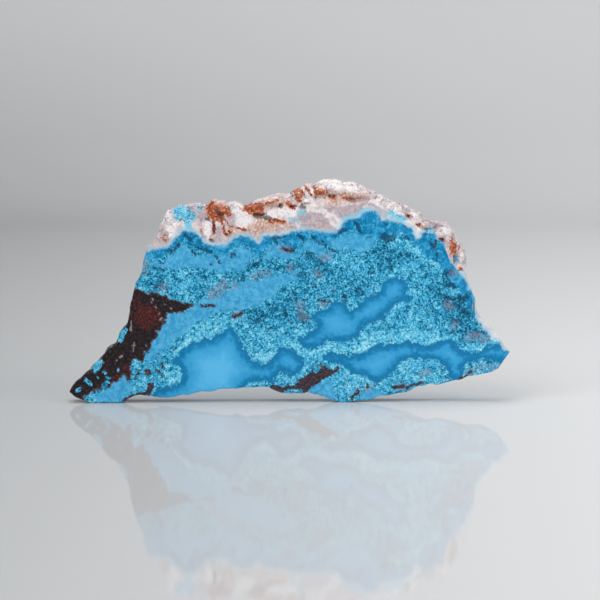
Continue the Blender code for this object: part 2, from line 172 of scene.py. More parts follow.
# Where each mineral shows on the face: the lower edge of the quartz and of the azure band,
# closed well above the slab, and the outlines of the other zones.
QUARTZ_LINE = [
    (-45.0, 38.4), (-36.0, 38.2), (-35.3, 37.9), (-34.0, 38.4), (-31.2, 38.9), (-30.0, 39.4),
    (-29.3, 40.6), (-27.3, 42.3), (-26.5, 43.2), (-25.0, 42.9), (-23.0, 42.2), (-22.3, 41.4),
    (-21.6, 40.4), (-20.6, 39.7), (-17.5, 39.3), (-16.0, 39.5), (-15.0, 40.2), (-14.0, 41.2),
    (-12.5, 41.8), (-11.0, 41.7), (-9.2, 40.9), (-8.4, 40.0), (-7.8, 40.0), (-7.0, 41.0),
    (-6.0, 41.7), (-2.0, 42.0), (-0.5, 42.5), (3.0, 43.1), (7.0, 43.0), (9.0, 42.7), (11.0, 42.8),
    (12.5, 43.4), (13.0, 44.5), (13.8, 45.5), (15.0, 46.0), (17.0, 46.4), (18.3, 47.3),
    (19.5, 48.0), (20.5, 48.1), (21.5, 47.7), (22.5, 46.2), (23.0, 45.4), (24.5, 45.8),
    (26.5, 45.1), (28.0, 44.9), (29.5, 44.0), (30.3, 43.6), (30.8, 42.6), (31.1, 41.4),
    (31.8, 41.0), (32.6, 41.4), (33.0, 42.3), (34.0, 42.7), (35.3, 42.7), (36.4, 42.1),
    (36.8, 41.0), (38.8, 40.2), (39.0, 38.8), (39.6, 37.0), (40.2, 35.3), (41.3, 34.2),
    (42.3, 32.8), (43.5, 31.2), (44.5, 29.6), (44.7, 28.5), (45.5, 28.0), (45.8, 27.0),
    (46.3, 26.0), (45.9, 24.6), (46.0, 23.2), (46.4, 22.2), (46.7, 21.4), (47.0, 20.3),
    (47.7, 19.6), (48.2, 18.7), (48.9, 18.0), (49.6, 17.6), (50.0, 16.8), (50.4, 15.8),
    (51.5, 15.4), (52.3, 15.0), (53.3, 13.5), (54.7, 12.6), (60.0, 12.0),
]
QUARTZ = QUARTZ_LINE + [(60.0, 70.0), (-45.0, 70.0)]
AZURE_LINE = [
    (-38.0, 35.6), (-35.0, 35.7), (-32.5, 36.3), (-30.0, 38.0), (-28.5, 39.5), (-27.0, 40.0),
    (-25.6, 39.4), (-22.8, 39.0), (-20.5, 38.0), (-18.0, 37.5), (-16.0, 37.6), (-14.5, 38.3),
    (-12.0, 40.0), (-10.5, 39.5), (-9.0, 37.5), (-7.6, 36.9), (-6.6, 37.8), (-5.0, 40.0),
    (-2.6, 40.2), (-1.4, 39.2), (0.0, 38.7), (1.8, 38.3), (3.2, 39.4), (4.0, 40.8), (5.4, 41.3),
    (7.2, 40.2), (9.4, 39.9), (10.6, 40.5), (12.0, 41.4), (13.6, 42.4), (15.2, 42.4), (17.6, 42.2),
    (18.6, 41.2), (20.5, 41.6), (21.4, 41.0), (23.6, 40.8), (25.2, 41.9), (28.2, 42.6),
    (29.3, 41.0), (31.0, 39.6), (32.5, 38.8), (34.5, 36.6), (36.0, 35.4), (38.0, 34.3),
    (38.8, 33.2), (39.6, 31.0), (41.0, 29.0), (42.6, 28.6), (43.2, 26.6), (44.6, 24.6),
    (45.2, 22.4),
]
AZURE = AZURE_LINE + [(60.0, 22.0), (60.0, 60.0), (-45.0, 60.0), (-45.0, 36.0)]
DARK_ZONE = [
    (-45.0, 29.6), (-39.0, 28.8), (-37.0, 28.1), (-36.0, 27.7), (-33.5, 27.6), (-32.0, 27.1),
    (-30.0, 26.3), (-28.5, 25.9), (-27.0, 25.4), (-25.6, 24.9), (-24.2, 24.6), (-25.5, 23.6),
    (-26.5, 22.9), (-27.5, 22.6), (-29.5, 22.4), (-30.4, 22.7), (-30.9, 21.8), (-31.8, 19.5),
    (-32.5, 18.3), (-33.2, 17.0), (-34.2, 15.8), (-34.8, 14.8), (-35.0, 13.2), (-35.4, 12.3),
    (-36.3, 12.6), (-36.4, 11.5), (-36.8, 10.4), (-38.2, 10.8), (-39.4, 11.0), (-39.7, 10.0),
    (-39.9, 6.5), (-40.2, 5.2), (-41.2, 6.6), (-41.7, 7.0), (-43.0, 5.6), (-44.5, 5.3),
    (-45.2, 4.0), (-46.0, 3.3), (-48.0, 3.5), (-50.0, 2.2), (-51.2, 1.4), (-52.5, -2.0),
    (-62.0, -2.0), (-62.0, 20.0),
]
BROWN_PATCH = [
    (1.0, 3.9), (1.6, 4.9), (2.4, 5.8), (3.2, 6.3), (4.5, 6.9), (5.2, 7.6), (5.8, 7.7), (6.6, 7.3),
    (7.2, 7.8), (7.9, 8.5), (9.0, 8.9), (9.8, 8.2), (10.8, 8.4), (12.2, 8.8), (12.2, 8.0),
    (10.8, 7.1), (9.2, 6.3), (8.0, 5.5), (6.8, 4.5), (5.4, 4.1), (4.8, 3.0), (3.4, 2.4), (3.0, 3.2),
    (1.6, 3.2), (0.3, 3.3), (-0.8, 3.1), (-2.0, 2.4), (-3.5, 3.0), (-5.0, 3.8), (-4.4, 4.4),
    (-3.4, 4.4), (-2.4, 4.1), (-1.4, 3.9), (-0.7, 4.6), (0.1, 4.3),
]
POOLS = [
    [(-34.0, 2.4), (-32.0, 3.4), (-29.8, 4.1), (-27.9, 4.7), (-27.1, 5.8), (-26.9, 7.4),
     (-27.6, 9.0), (-28.9, 10.2), (-28.4, 11.7), (-26.9, 12.9), (-25.3, 14.3), (-24.0, 15.2),
     (-22.2, 15.5), (-21.0, 16.1), (-20.0, 15.9), (-18.9, 16.6), (-17.4, 17.1), (-16.2, 18.2),
     (-15.1, 18.9), (-14.0, 17.9), (-13.2, 16.5), (-12.2, 14.9), (-11.3, 13.3), (-10.3, 11.7),
     (-9.2, 10.4), (-7.6, 9.7), (-6.0, 9.6), (-4.8, 10.2), (-3.8, 11.6), (-2.9, 12.9), (-1.9, 13.6),
     (-0.4, 13.4), (1.0, 12.6), (2.3, 11.6), (3.2, 10.3), (3.2, 9.0), (2.2, 7.8), (1.0, 6.9),
     (-0.2, 7.0), (-1.2, 7.8), (-2.4, 8.0), (-3.4, 7.2), (-4.1, 6.0), (-4.6, 5.0), (-6.0, 5.4),
     (-8.0, 5.6), (-9.8, 5.3), (-10.7, 4.6), (-11.4, 3.5), (-11.6, 0.0), (-34.0, -1.0)],
    [(2.5, 14.5), (2.7, 16.0), (4.0, 17.0), (5.6, 17.6), (6.7, 18.3), (6.9, 19.5), (6.0, 20.5),
     (5.8, 21.8), (6.8, 22.8), (8.4, 23.0), (9.6, 23.6), (10.4, 24.7), (12.0, 25.0), (13.6, 24.5),
     (14.4, 23.3), (15.2, 22.6), (16.0, 23.3), (17.0, 24.6), (18.3, 25.4), (19.3, 26.3),
     (20.8, 26.9), (22.1, 27.4), (22.9, 28.5), (23.4, 30.0), (24.8, 30.9), (26.8, 31.0),
     (28.4, 30.6), (29.4, 29.6), (29.0, 28.3), (29.6, 27.2), (30.4, 26.2), (29.4, 25.5),
     (27.6, 25.3), (26.2, 24.6), (24.9, 23.6), (23.8, 22.2), (22.4, 20.9), (20.6, 20.2),
     (18.9, 19.6), (18.0, 18.2), (17.5, 16.9), (16.3, 16.1), (14.4, 15.6), (12.6, 15.3),
     (10.4, 15.5), (8.6, 15.3), (7.8, 14.3), (6.0, 13.8), (3.9, 13.7)],
    [(8.4, 11.6), (9.4, 12.3), (11.0, 12.2), (12.6, 11.9), (14.2, 11.7), (16.0, 11.7), (18.0, 12.2),
     (19.5, 12.9), (21.0, 13.8), (23.0, 14.3), (25.0, 14.3), (27.0, 14.7), (29.6, 15.1),
     (31.8, 14.5), (34.0, 14.0), (36.0, 14.3), (37.5, 15.1), (38.6, 15.6), (39.9, 15.6),
     (41.2, 14.9), (42.2, 13.8), (43.2, 12.9), (44.5, 12.5), (46.0, 12.3), (47.5, 12.7),
     (49.0, 13.5), (50.6, 14.2), (53.0, 14.2), (58.0, 13.0), (58.0, 10.4), (53.0, 10.3),
     (51.0, 10.5), (49.0, 10.9), (47.0, 10.7), (45.0, 10.3), (43.8, 9.4), (43.4, 8.0), (43.2, 6.6),
     (42.4, 5.6), (41.0, 5.6), (39.9, 6.4), (39.7, 8.0), (39.0, 9.2), (38.0, 9.9), (36.5, 10.5),
     (35.0, 10.9), (33.0, 11.0), (31.0, 11.2), (29.0, 10.9), (27.8, 10.0), (26.8, 8.8), (25.7, 7.7),
     (24.8, 6.7), (23.2, 5.8), (21.5, 5.2), (20.2, 5.6), (19.0, 6.4), (17.8, 6.9), (16.4, 7.1),
     (15.0, 7.7), (14.2, 8.8), (13.4, 9.7), (11.8, 10.2), (9.8, 10.4)],
]
SKY_AREAS = [
    [(-34.4, 33.6), (-34.7, 34.9), (-34.2, 35.7), (-33.2, 35.9), (-32.2, 35.3), (-31.4, 35.4),
     (-30.4, 36.6), (-29.0, 37.4), (-28.0, 38.9), (-26.6, 39.8), (-25.8, 39.3), (-25.2, 38.2),
     (-23.6, 36.9), (-21.8, 37.1), (-20.0, 37.2), (-18.9, 36.8), (-18.2, 37.3), (-17.0, 36.9),
     (-15.4, 37.3), (-14.0, 38.1), (-12.8, 39.0), (-11.4, 38.9), (-10.4, 38.2), (-9.6, 36.8),
     (-9.8, 35.4), (-11.2, 34.2), (-12.6, 33.0), (-15.0, 33.4), (-17.0, 32.6), (-19.0, 33.2),
     (-21.2, 33.6), (-23.4, 34.0), (-26.0, 33.6), (-28.2, 33.9), (-30.0, 33.2), (-32.0, 33.9)],
    [(-24.4, 24.2), (-21.0, 23.3), (-18.0, 22.8), (-15.6, 23.0), (-13.0, 23.4), (-10.6, 23.7),
     (-8.6, 24.8), (-6.0, 25.6), (-4.2, 26.2), (-3.4, 28.0), (-1.8, 29.4), (0.8, 30.6), (3.0, 31.8),
     (1.4, 32.6), (-1.2, 32.3), (-4.6, 31.6), (-7.6, 30.8), (-10.4, 30.4), (-13.4, 30.2),
     (-14.8, 28.4), (-17.4, 27.2), (-19.8, 26.6), (-22.0, 25.6)],
    [(-34.9, 14.6), (-33.3, 17.0), (-32.6, 18.3), (-31.9, 19.5), (-31.0, 21.8), (-30.4, 22.7),
     (-27.4, 22.6), (-25.4, 23.6), (-24.0, 24.4), (-20.0, 23.0), (-20.0, 21.8), (-22.4, 21.0),
     (-24.8, 19.4), (-25.6, 17.8), (-27.6, 16.6), (-29.6, 15.0), (-31.2, 13.4), (-33.0, 11.6),
     (-35.0, 10.6), (-36.4, 11.0), (-36.0, 12.6), (-35.2, 12.6)],
    [(-45.4, 4.2), (-44.2, 5.2), (-42.8, 5.8), (-41.6, 7.0), (-40.4, 5.8), (-39.6, 4.2),
     (-39.6, 2.6), (-41.4, 1.0), (-43.0, 0.2), (-47.0, 0.2), (-49.0, 1.4), (-47.0, 2.6)],
    [(2.2, 38.0), (3.4, 39.4), (4.2, 40.8), (5.6, 41.0), (7.2, 39.8), (8.4, 38.0), (9.8, 36.6),
     (8.6, 36.4), (6.0, 37.4), (4.2, 38.2), (2.8, 37.2)],
    [(9.8, 39.6), (11.0, 40.6), (12.4, 41.6), (13.8, 42.4), (15.2, 42.4), (17.4, 42.0),
     (18.4, 41.0), (20.0, 41.5), (20.8, 40.0), (20.0, 38.4), (17.0, 38.0), (14.6, 38.6),
     (12.4, 38.2), (10.4, 38.4)],
    [(5.4, 1.8), (5.0, 3.6), (6.6, 4.5), (8.2, 5.4), (9.4, 6.0), (10.6, 5.0), (11.0, 3.4),
     (11.2, 1.8), (10.4, 0.0), (7.0, 0.0)],
    [(17.4, 0.6), (18.0, 2.6), (19.4, 3.6), (21.4, 3.0), (23.4, 2.6), (25.0, 2.0), (22.0, 0.4)],
    [(-10.4, 38.0), (-6.8, 36.6), (-4.6, 39.6), (-2.6, 39.6), (-0.4, 37.4), (2.0, 37.6),
     (1.6, 36.2), (-1.0, 36.0), (-4.0, 36.4), (-6.6, 35.8), (-9.0, 36.4)],
]

# Every set of outlines by the name of its depth field.
ZONES = {
    "quartz": [QUARTZ], "azure": [AZURE], "dark": [DARK_ZONE], "pool": POOLS, "sky": SKY_AREAS,
}

# Pale milky turquoise areas and dark ones in the speckled stone: x, z, half width, half height,
# turn in degrees, and how much paler (+) or darker (-).
TONES = [
    (-21.0, 18.5, 5.5, 2.4, 20, 0.8), (-26.5, 14.6, 3.4, 1.1, 45, 0.8),
    (-6.0, 14.0, 4.5, 4.5, 0, 0.45), (-30.5, 7.6, 2.0, 4.0, 10, 0.4),
    (-28.8, 5.9, 1.9, 0.8, 5, 1.5), (-5.6, 11.0, 2.2, 1.2, 0, 0.6), (14.0, 13.4, 7.0, 0.9, 2, 1.3),
    (19.6, 14.6, 2.2, 0.9, 20, 1.3), (26.0, 16.8, 6.5, 1.5, 4, 1.2), (35.6, 16.4, 3.2, 1.4, 5, 1.1),
    (32.0, 21.5, 6.0, 5.0, 0, 0.25), (32.5, 7.6, 6.0, 2.6, -6, 1.0), (12.6, 4.8, 3.2, 4.2, 0, 0.7),
    (18.0, 4.6, 2.4, 2.0, 20, 0.9), (17.0, 6.4, 2.2, 0.7, 0, 1.0), (5.6, 11.4, 3.4, 1.4, 10, 0.7),
    (2.0, 13.6, 3.4, 0.8, -25, 0.8), (-1.2, 5.4, 1.8, 1.1, 0, 1.1), (24.0, 4.8, 2.4, 1.2, 10, 0.8),
    (38.0, 12.0, 1.0, 0.5, 0, 0.3), (27.2, 40.4, 2.2, 1.6, 0, 1.2),
    (32.0, 37.2, 3.6, 0.9, -38, 1.2), (36.6, 34.8, 2.8, 0.8, -30, 1.3),
    (40.8, 27.6, 1.4, 0.8, 0, 1.4), (46.6, 13.8, 1.5, 0.9, 0, 1.2), (48.4, 8.6, 3.2, 1.2, 12, 0.7),
    (8.0, 32.6, 3.0, 1.4, 30, 0.2), (13.0, 35.8, 4.0, 2.2, 0, 0.35),
    (29.6, 33.6, 5.0, 2.2, -15, 0.5), (-26.6, 29.0, 3.6, 1.8, -10, 0.6),
    (-34.6, 4.4, 2.6, 2.6, 0, 0.3), (-37.4, 8.6, 1.8, 2.0, 0, 0.3), (36.8, 24.6, 0.8, 1.4, 0, 1.2),
    (37.4, 31.6, 1.4, 2.2, 15, 0.8), (-11.0, 21.0, 5.0, 1.8, 10, 0.3),
    (1.0, 18.0, 4.0, 2.4, 0, 0.35), (11.0, 27.8, 0.9, 0.9, 0, 1.2),
    (-18.0, 30.6, 3.0, 1.4, 10, 0.4), (7.4, 28.6, 1.6, 1.2, 30, 0.5),
    (-5.0, 24.0, 5.0, 2.4, 10, -0.55), (1.5, 26.5, 3.4, 2.6, 20, -0.5),
    (-2.0, 22.6, 4.0, 1.6, 0, -0.7), (3.2, 21.8, 1.8, 1.4, -40, -0.9),
    (-1.6, 34.0, 5.0, 1.8, 0, -0.7), (6.6, 34.6, 3.2, 2.8, 0, -0.75),
    (4.4, 37.0, 1.6, 1.0, -20, -0.8), (13.0, 30.4, 5.0, 2.6, 10, -0.35),
    (16.6, 27.4, 3.0, 2.2, 0, -0.5), (23.6, 34.8, 3.6, 2.2, -10, -0.8),
    (23.4, 38.6, 2.4, 2.0, 0, -0.8), (28.6, 36.8, 4.0, 1.5, -5, -1.2),
    (33.8, 33.4, 2.0, 1.2, -30, -0.9), (36.4, 28.6, 2.6, 3.4, 10, -0.8),
    (40.6, 30.6, 2.4, 2.0, 0, -1.0), (41.0, 25.4, 3.6, 1.5, 0, -1.1),
    (38.6, 22.6, 2.8, 1.3, 15, -1.0), (43.6, 20.6, 3.6, 3.2, 20, -1.0),
    (47.4, 17.6, 1.8, 1.4, -20, -1.2), (38.4, 18.6, 2.6, 1.6, 0, -0.5),
    (-33.4, 29.8, 3.6, 2.0, 0, -0.6), (-22.4, 28.4, 2.8, 2.2, 0, -0.5),
    (-32.4, 33.0, 2.0, 1.4, 0, -0.3), (-8.6, 34.6, 1.9, 1.2, 35, -1.0),
    (-13.6, 36.6, 1.2, 1.0, 0, -0.7), (-9.4, 21.0, 2.6, 0.8, 5, -0.6),
    (17.0, 43.4, 1.4, 1.6, 0, -0.6), (36.6, 40.2, 0.8, 1.6, 15, -0.5),
    (-20.4, 31.8, 2.8, 1.0, -10, -0.5), (25.6, 20.8, 2.8, 1.2, 10, -0.1),
]

# Marks are strokes: half width, then the line they follow. First those in the blue stone and
# the dark zone.
BROWN_MARKS = [
    (0.45, [(-41.6, 0.6), (-39.8, 1.5), (-38.2, 2.1), (-36.4, 2.3), (-35.2, 2.4)]),
    (0.75, [(-35.1, 3.2), (-34.9, 4.3)]), (0.7, [(-35.7, 7.8), (-35.4, 7.5)]),
    (0.35, [(-33.3, 8.1), (-32.9, 7.9)]), (0.22, [(-32.0, 10.0), (-32.1, 8.6)]),
    (0.25, [(-31.9, 7.4), (-32.0, 6.4)]), (0.22, [(-32.9, 12.3), (-32.8, 12.6)]),
    (0.3, [(-28.9, 13.4), (-28.7, 13.5)]), (0.3, [(-38.6, 6.6), (-37.8, 7.4)]),
    (0.28, [(6.9, 9.2), (7.7, 9.5), (8.3, 9.2)]), (0.3, [(11.0, 8.2), (12.2, 8.8)]),
    (0.25, [(8.2, 8.9), (9.4, 9.0)]), (0.35, [(15.4, 0.9), (16.2, 1.9), (17.2, 2.5)]),
    (0.25, [(16.6, 2.2), (17.0, 3.4)]), (0.4, [(26.0, 3.7), (28.4, 3.9)]),
    (0.35, [(29.2, 3.6), (31.0, 4.4), (33.2, 4.9)]), (0.4, [(45.1, 7.4), (45.3, 7.5)]),
    (0.3, [(42.4, 5.6), (43.4, 6.2), (44.4, 6.7)]),
    (0.35, [(-22.2, 24.3), (-20.2, 24.4), (-19.0, 24.4)]),
    (0.3, [(7.0, 25.6), (8.6, 25.5), (10.0, 25.2)]),
    (0.4, [(-14.4, 21.5), (-13.2, 21.9), (-12.2, 22.4)]), (0.3, [(0.6, 37.9), (-2.0, 38.6)]),
    (0.25, [(36.4, 40.6), (36.3, 39.2)]), (0.3, [(-0.4, 4.5), (-1.0, 3.6)]),
    (0.25, [(19.4, 4.6), (19.6, 3.6)]),
]
NAVY_MARKS = [
    (0.5, [(-26.2, 42.0), (-25.0, 41.2), (-24.4, 40.8)]),
    (0.4, [(-23.4, 38.9), (-21.6, 38.6), (-19.6, 37.9)]),
    (0.4, [(-27.4, 39.9), (-28.6, 38.8), (-29.8, 37.6)]),
    (0.5, [(12.4, 42.7), (13.0, 43.2), (13.8, 43.4)]),
    (0.9, [(23.6, 41.6), (24.8, 41.0), (25.6, 41.4)]),
    (0.5, [(16.4, 44.9), (17.2, 43.6), (17.6, 42.8)]), (0.4, [(2.0, 42.0), (3.4, 40.9)]),
    (0.35, [(5.4, 41.8), (6.8, 40.4)]), (0.35, [(8.2, 40.6), (9.0, 39.4)]),
    (0.3, [(-3.0, 41.4), (-1.2, 41.7)]), (0.45, [(-4.4, 41.6), (-3.4, 40.4)]),
    (0.35, [(35.2, 40.5), (36.0, 38.6), (37.0, 36.6)]),
    (0.6, [(39.2, 29.4), (40.2, 29.6), (41.2, 28.9)]), (0.5, [(38.8, 26.2), (40.0, 25.9)]),
    (0.6, [(41.8, 26.2), (43.2, 26.0), (44.4, 26.6)]), (0.6, [(39.0, 32.4), (40.4, 32.6)]),
    (0.3, [(29.0, 41.6), (29.8, 40.8)]), (0.3, [(-18.5, 36.8), (-17.9, 36.0), (-17.4, 35.0)]),
    (0.3, [(-32.4, 35.2), (-31.6, 35.0)]), (0.3, [(-33.9, 34.4), (-33.7, 33.6)]),
    (0.3, [(-32.4, 33.9), (-31.6, 33.4)]), (0.35, [(-14.6, 37.2), (-14.5, 36.4)]),
    (0.3, [(-13.9, 37.5), (-13.8, 36.8)]), (0.4, [(-24.2, 37.8), (-23.7, 37.4)]),
    (0.25, [(-23.4, 38.4), (-23.0, 38.2)]), (0.25, [(-22.8, 37.4), (-22.4, 37.3)]),
    (0.5, [(-9.0, 34.4), (-8.2, 35.0)]), (0.35, [(-20.1, 34.9), (-19.7, 34.6)]),
    (0.3, [(-21.4, 31.8), (-20.8, 31.7)]), (0.35, [(-14.6, 31.5), (-14.0, 31.6)]),
    (0.35, [(-12.6, 30.8), (-12.2, 30.7)]), (0.45, [(6.0, 29.2), (6.6, 29.4)]),
    (0.35, [(10.6, 27.8), (10.9, 27.8)]), (0.4, [(7.0, 31.7), (7.4, 31.6)]),
    (0.35, [(2.0, 32.0), (2.3, 31.8)]), (0.35, [(3.7, 32.0), (3.9, 32.1)]),
    (0.4, [(13.4, 26.7), (14.0, 25.4)]), (0.35, [(16.8, 28.6), (17.2, 28.5)]),
    (0.3, [(0.2, 20.1), (0.5, 20.1)]), (0.45, [(-8.4, 20.4), (-7.8, 20.5)]),
    (0.3, [(-6.0, 18.2), (-5.9, 17.9)]), (0.35, [(-7.2, 21.7), (-7.0, 21.6)]),
    (0.4, [(-3.8, 23.6), (-3.4, 23.5)]), (0.45, [(-1.2, 22.6), (-0.8, 22.2)]),
    (0.4, [(1.0, 27.0), (1.4, 27.4)]), (0.35, [(0.4, 38.4), (1.2, 38.8)]),
    (0.35, [(25.2, 34.4), (25.3, 33.6)]), (0.45, [(41.2, 20.8), (42.8, 20.2)]),
    (0.3, [(40.4, 17.6), (40.8, 17.8)]), (0.35, [(44.8, 22.4), (43.0, 22.9)]),
    (0.4, [(45.2, 9.3), (45.5, 9.0)]), (0.4, [(38.9, 6.4), (39.2, 6.2)]),
    (0.3, [(38.2, 8.6), (38.5, 8.6)]), (0.3, [(49.8, 10.0), (50.3, 10.0)]),
    (0.25, [(21.0, 4.3), (21.4, 4.6)]), (0.3, [(9.8, 38.4), (11.6, 37.8)]),
    (0.4, [(4.4, 37.6), (5.6, 37.4)]),
]
STAIN_MARKS = [
    (1.0, [(2.8, 22.2), (3.6, 21.4)]), (0.8, [(7.8, 24.7), (8.8, 24.6)]),
    (1.0, [(-2.0, 38.6), (-0.4, 38.4)]), (1.4, [(-19.6, 27.2), (-17.8, 28.2), (-16.6, 29.6)]),
    (0.8, [(-14.2, 29.0), (-13.4, 29.4)]), (0.9, [(-32.4, 29.0), (-31.0, 29.4)]),
    (0.8, [(-9.6, 31.6), (-7.4, 32.2), (-5.4, 32.6)]), (0.8, [(-13.8, 21.8), (-12.8, 22.2)]),
    (0.9, [(6.4, 32.4), (7.4, 32.2)]), (0.7, [(-0.2, 33.4), (0.4, 34.2)]),
    (1.2, [(44.8, 16.2), (46.8, 16.4), (49.0, 16.0)]), (0.8, [(44.6, 7.2), (45.8, 7.6)]),
    (0.7, [(47.6, 8.4), (48.8, 8.8)]), (0.8, [(50.6, 8.4), (52.0, 8.8)]),
    (0.9, [(27.0, 3.8), (29.0, 3.8)]), (0.7, [(16.2, 2.0), (17.4, 3.2)]),
    (0.8, [(19.2, 3.0), (20.0, 3.6)]), (0.6, [(-36.3, 32.4), (-35.9, 35.8)]),
    (1.0, [(40.2, 24.0), (39.4, 24.4)]), (0.7, [(40.9, 18.6), (41.2, 19.8)]),
    (0.9, [(33.4, 7.2), (34.6, 7.4)]), (1.0, [(8.4, 36.2), (9.6, 36.6)]),
    (0.9, [(2.2, 24.6), (3.0, 24.2)]), (0.8, [(40.6, 32.2), (41.4, 32.0)]),
]
TURQUOISE_IN_DARK = [
    (0.75, [(-48.4, 8.6), (-48.0, 9.6), (-47.6, 10.4)]),
    (0.5, [(-51.0, 5.8), (-50.2, 5.0), (-49.8, 4.7)]), (0.5, [(-53.0, 3.2), (-52.6, 3.4)]),
    (0.6, [(-46.6, 4.4), (-45.8, 5.2)]), (0.3, [(-46.5, 7.8), (-46.3, 7.4)]),
    (0.65, [(-42.6, 15.9), (-41.9, 17.2), (-41.3, 18.4)]), (0.3, [(-49.2, 8.2), (-48.8, 7.8)]),
    (0.25, [(-48.2, 6.6), (-48.0, 6.3)]), (0.25, [(-43.0, 8.4), (-42.9, 8.0)]),
    (0.3, [(-45.8, 6.3), (-45.2, 6.2)]),
]
SPARK_MARKS = [
    (0.22, [(-34.4, 26.2), (-34.2, 25.8)]), (0.16, [(-34.7, 25.3), (-34.5, 25.1)]),
    (0.18, [(-33.7, 24.2), (-33.4, 23.8)]), (0.25, [(-29.8, 23.7), (-29.6, 23.7)]),
    (0.24, [(-32.5, 20.8), (-32.1, 21.3)]), (0.22, [(-33.5, 18.0), (-33.4, 18.1)]),
    (0.22, [(-43.0, 8.0), (-42.9, 8.4)]), (0.28, [(-42.5, 11.5), (-42.0, 11.8)]),
    (0.18, [(-43.4, 10.7), (-43.2, 10.7)]), (0.18, [(-46.7, 10.0), (-46.6, 10.1)]),
    (0.12, [(-39.2, 12.8), (-39.1, 14.2), (-38.9, 15.2)]), (0.12, [(-39.6, 14.4), (-38.6, 14.5)]),
    (0.14, [(-39.6, 18.0), (-39.7, 20.6)]), (0.16, [(-40.0, 18.2), (-39.9, 19.0)]),
    (0.14, [(-32.9, 22.2), (-32.5, 22.6)]), (0.12, [(-36.2, 14.6), (-35.8, 14.2)]),
    (0.14, [(-31.4, 24.8), (-31.0, 24.6)]),
]
RED_PATCH = [
    (2.3, [(-37.2, 21.6), (-36.0, 22.4), (-34.6, 22.0)]), (0.8, [(-37.6, 24.0), (-38.0, 25.6)]),
    (0.8, [(-36.4, 19.4), (-35.6, 19.0)]), (0.5, [(-43.5, 6.5), (-43.2, 6.6)]),
    (0.6, [(-41.2, 9.0), (-40.6, 8.4)]),
]

# Stains in the quartz, drawn the same way. The hollows among them are dark rust with painted shade
# deepening the pits.
RUST_MARKS = [
    (0.9, [(-20.0, 48.0), (-19.4, 46.8), (-18.4, 46.2)]),
    (1.3, [(-18.9, 48.9), (-18.0, 47.8), (-17.2, 46.6)]), (0.85, [(-16.6, 48.4), (-15.4, 47.4)]),
    (0.35, [(-19.1, 45.2), (-18.9, 43.8), (-18.9, 42.6)]),
    (0.25, [(-16.2, 46.0), (-15.5, 44.6), (-14.0, 43.9), (-12.4, 43.6), (-10.9, 43.1)]),
    (0.35, [(-16.4, 42.6), (-15.8, 42.2)]), (0.3, [(-15.3, 43.0), (-14.8, 42.6)]),
    (0.25, [(-16.6, 44.4), (-16.3, 42.8)]), (0.45, [(-19.7, 40.9), (-19.3, 40.6)]),
    (0.2, [(-15.4, 41.8), (-14.6, 41.6)]), (0.25, [(-11.6, 43.8), (-11.1, 42.9)]),
    (0.2, [(-22.2, 43.4), (-22.0, 42.2), (-21.6, 41.4)]),
    (0.18, [(-19.4, 44.6), (-19.3, 42.6), (-19.8, 41.4)]), (0.18, [(-16.9, 45.0), (-16.6, 43.4)]),
    (1.05, [(-10.0, 48.2), (-8.6, 48.8), (-7.2, 48.9)]), (0.5, [(-6.8, 48.0), (-9.0, 47.4)]),
    (0.5, [(-0.5, 50.0), (0.9, 48.8)]), (0.65, [(3.3, 52.4), (2.2, 51.4), (2.4, 50.6)]),
    (0.75, [(6.8, 52.6), (8.3, 52.6)]), (0.5, [(-4.8, 45.4), (-3.0, 45.5), (-1.4, 45.2)]),
    (0.4, [(40.5, 40.2), (41.0, 40.6)]), (0.75, [(41.2, 39.4), (41.0, 37.8)]),
    (0.4, [(37.2, 40.6), (38.4, 40.7)]), (0.35, [(32.0, 44.4), (32.6, 44.6)]),
    (0.4, [(41.2, 36.4), (41.3, 35.2)]), (0.3, [(-5.4, 49.8), (-3.0, 50.6)]),
    (0.35, [(13.4, 51.2), (15.6, 50.8)]), (0.3, [(29.2, 46.9), (30.4, 46.3)]),
    (0.3, [(-12.4, 48.8), (-10.8, 48.0)]), (0.3, [(10.2, 51.6), (11.2, 50.8)]),
    (0.4, [(4.6, 53.2), (5.4, 52.0)]), (0.3, [(-31.6, 41.0), (-31.0, 40.6)]),
    (0.25, [(42.6, 33.6), (43.2, 33.0)]),
]
TAN_MARKS = [
    (1.6, [(-9.0, 43.6), (-6.4, 44.4), (-3.6, 44.6)]), (1.2, [(-5.4, 49.8), (-2.0, 50.2)]),
    (1.5, [(-14.6, 42.8), (-12.0, 43.0)]), (1.6, [(10.0, 51.6), (11.6, 51.2)]),
    (1.4, [(14.0, 51.8), (16.4, 51.4)]), (1.0, [(-31.4, 40.8), (-31.0, 41.0)]),
    (1.2, [(7.0, 52.4), (8.2, 52.4)]), (0.8, [(-8.6, 41.0), (-7.8, 41.6)]),
    (1.1, [(41.0, 39.6), (41.6, 37.6)]), (0.9, [(-21.4, 42.6), (-21.8, 43.8)]),
    (0.8, [(-17.2, 49.6), (-15.4, 48.6)]), (0.9, [(1.4, 50.4), (3.2, 51.8)]),
    (0.9, [(32.0, 44.6), (33.0, 43.6)]), (0.8, [(-1.4, 44.0), (0.4, 43.6)]),
    (0.9, [(5.8, 43.6), (9.0, 43.4)]), (1.0, [(-8.8, 47.4), (-6.8, 47.0)]),
    (0.8, [(-33.6, 38.8), (-32.6, 39.4)]), (0.8, [(18.2, 51.8), (20.0, 51.4)]),
]
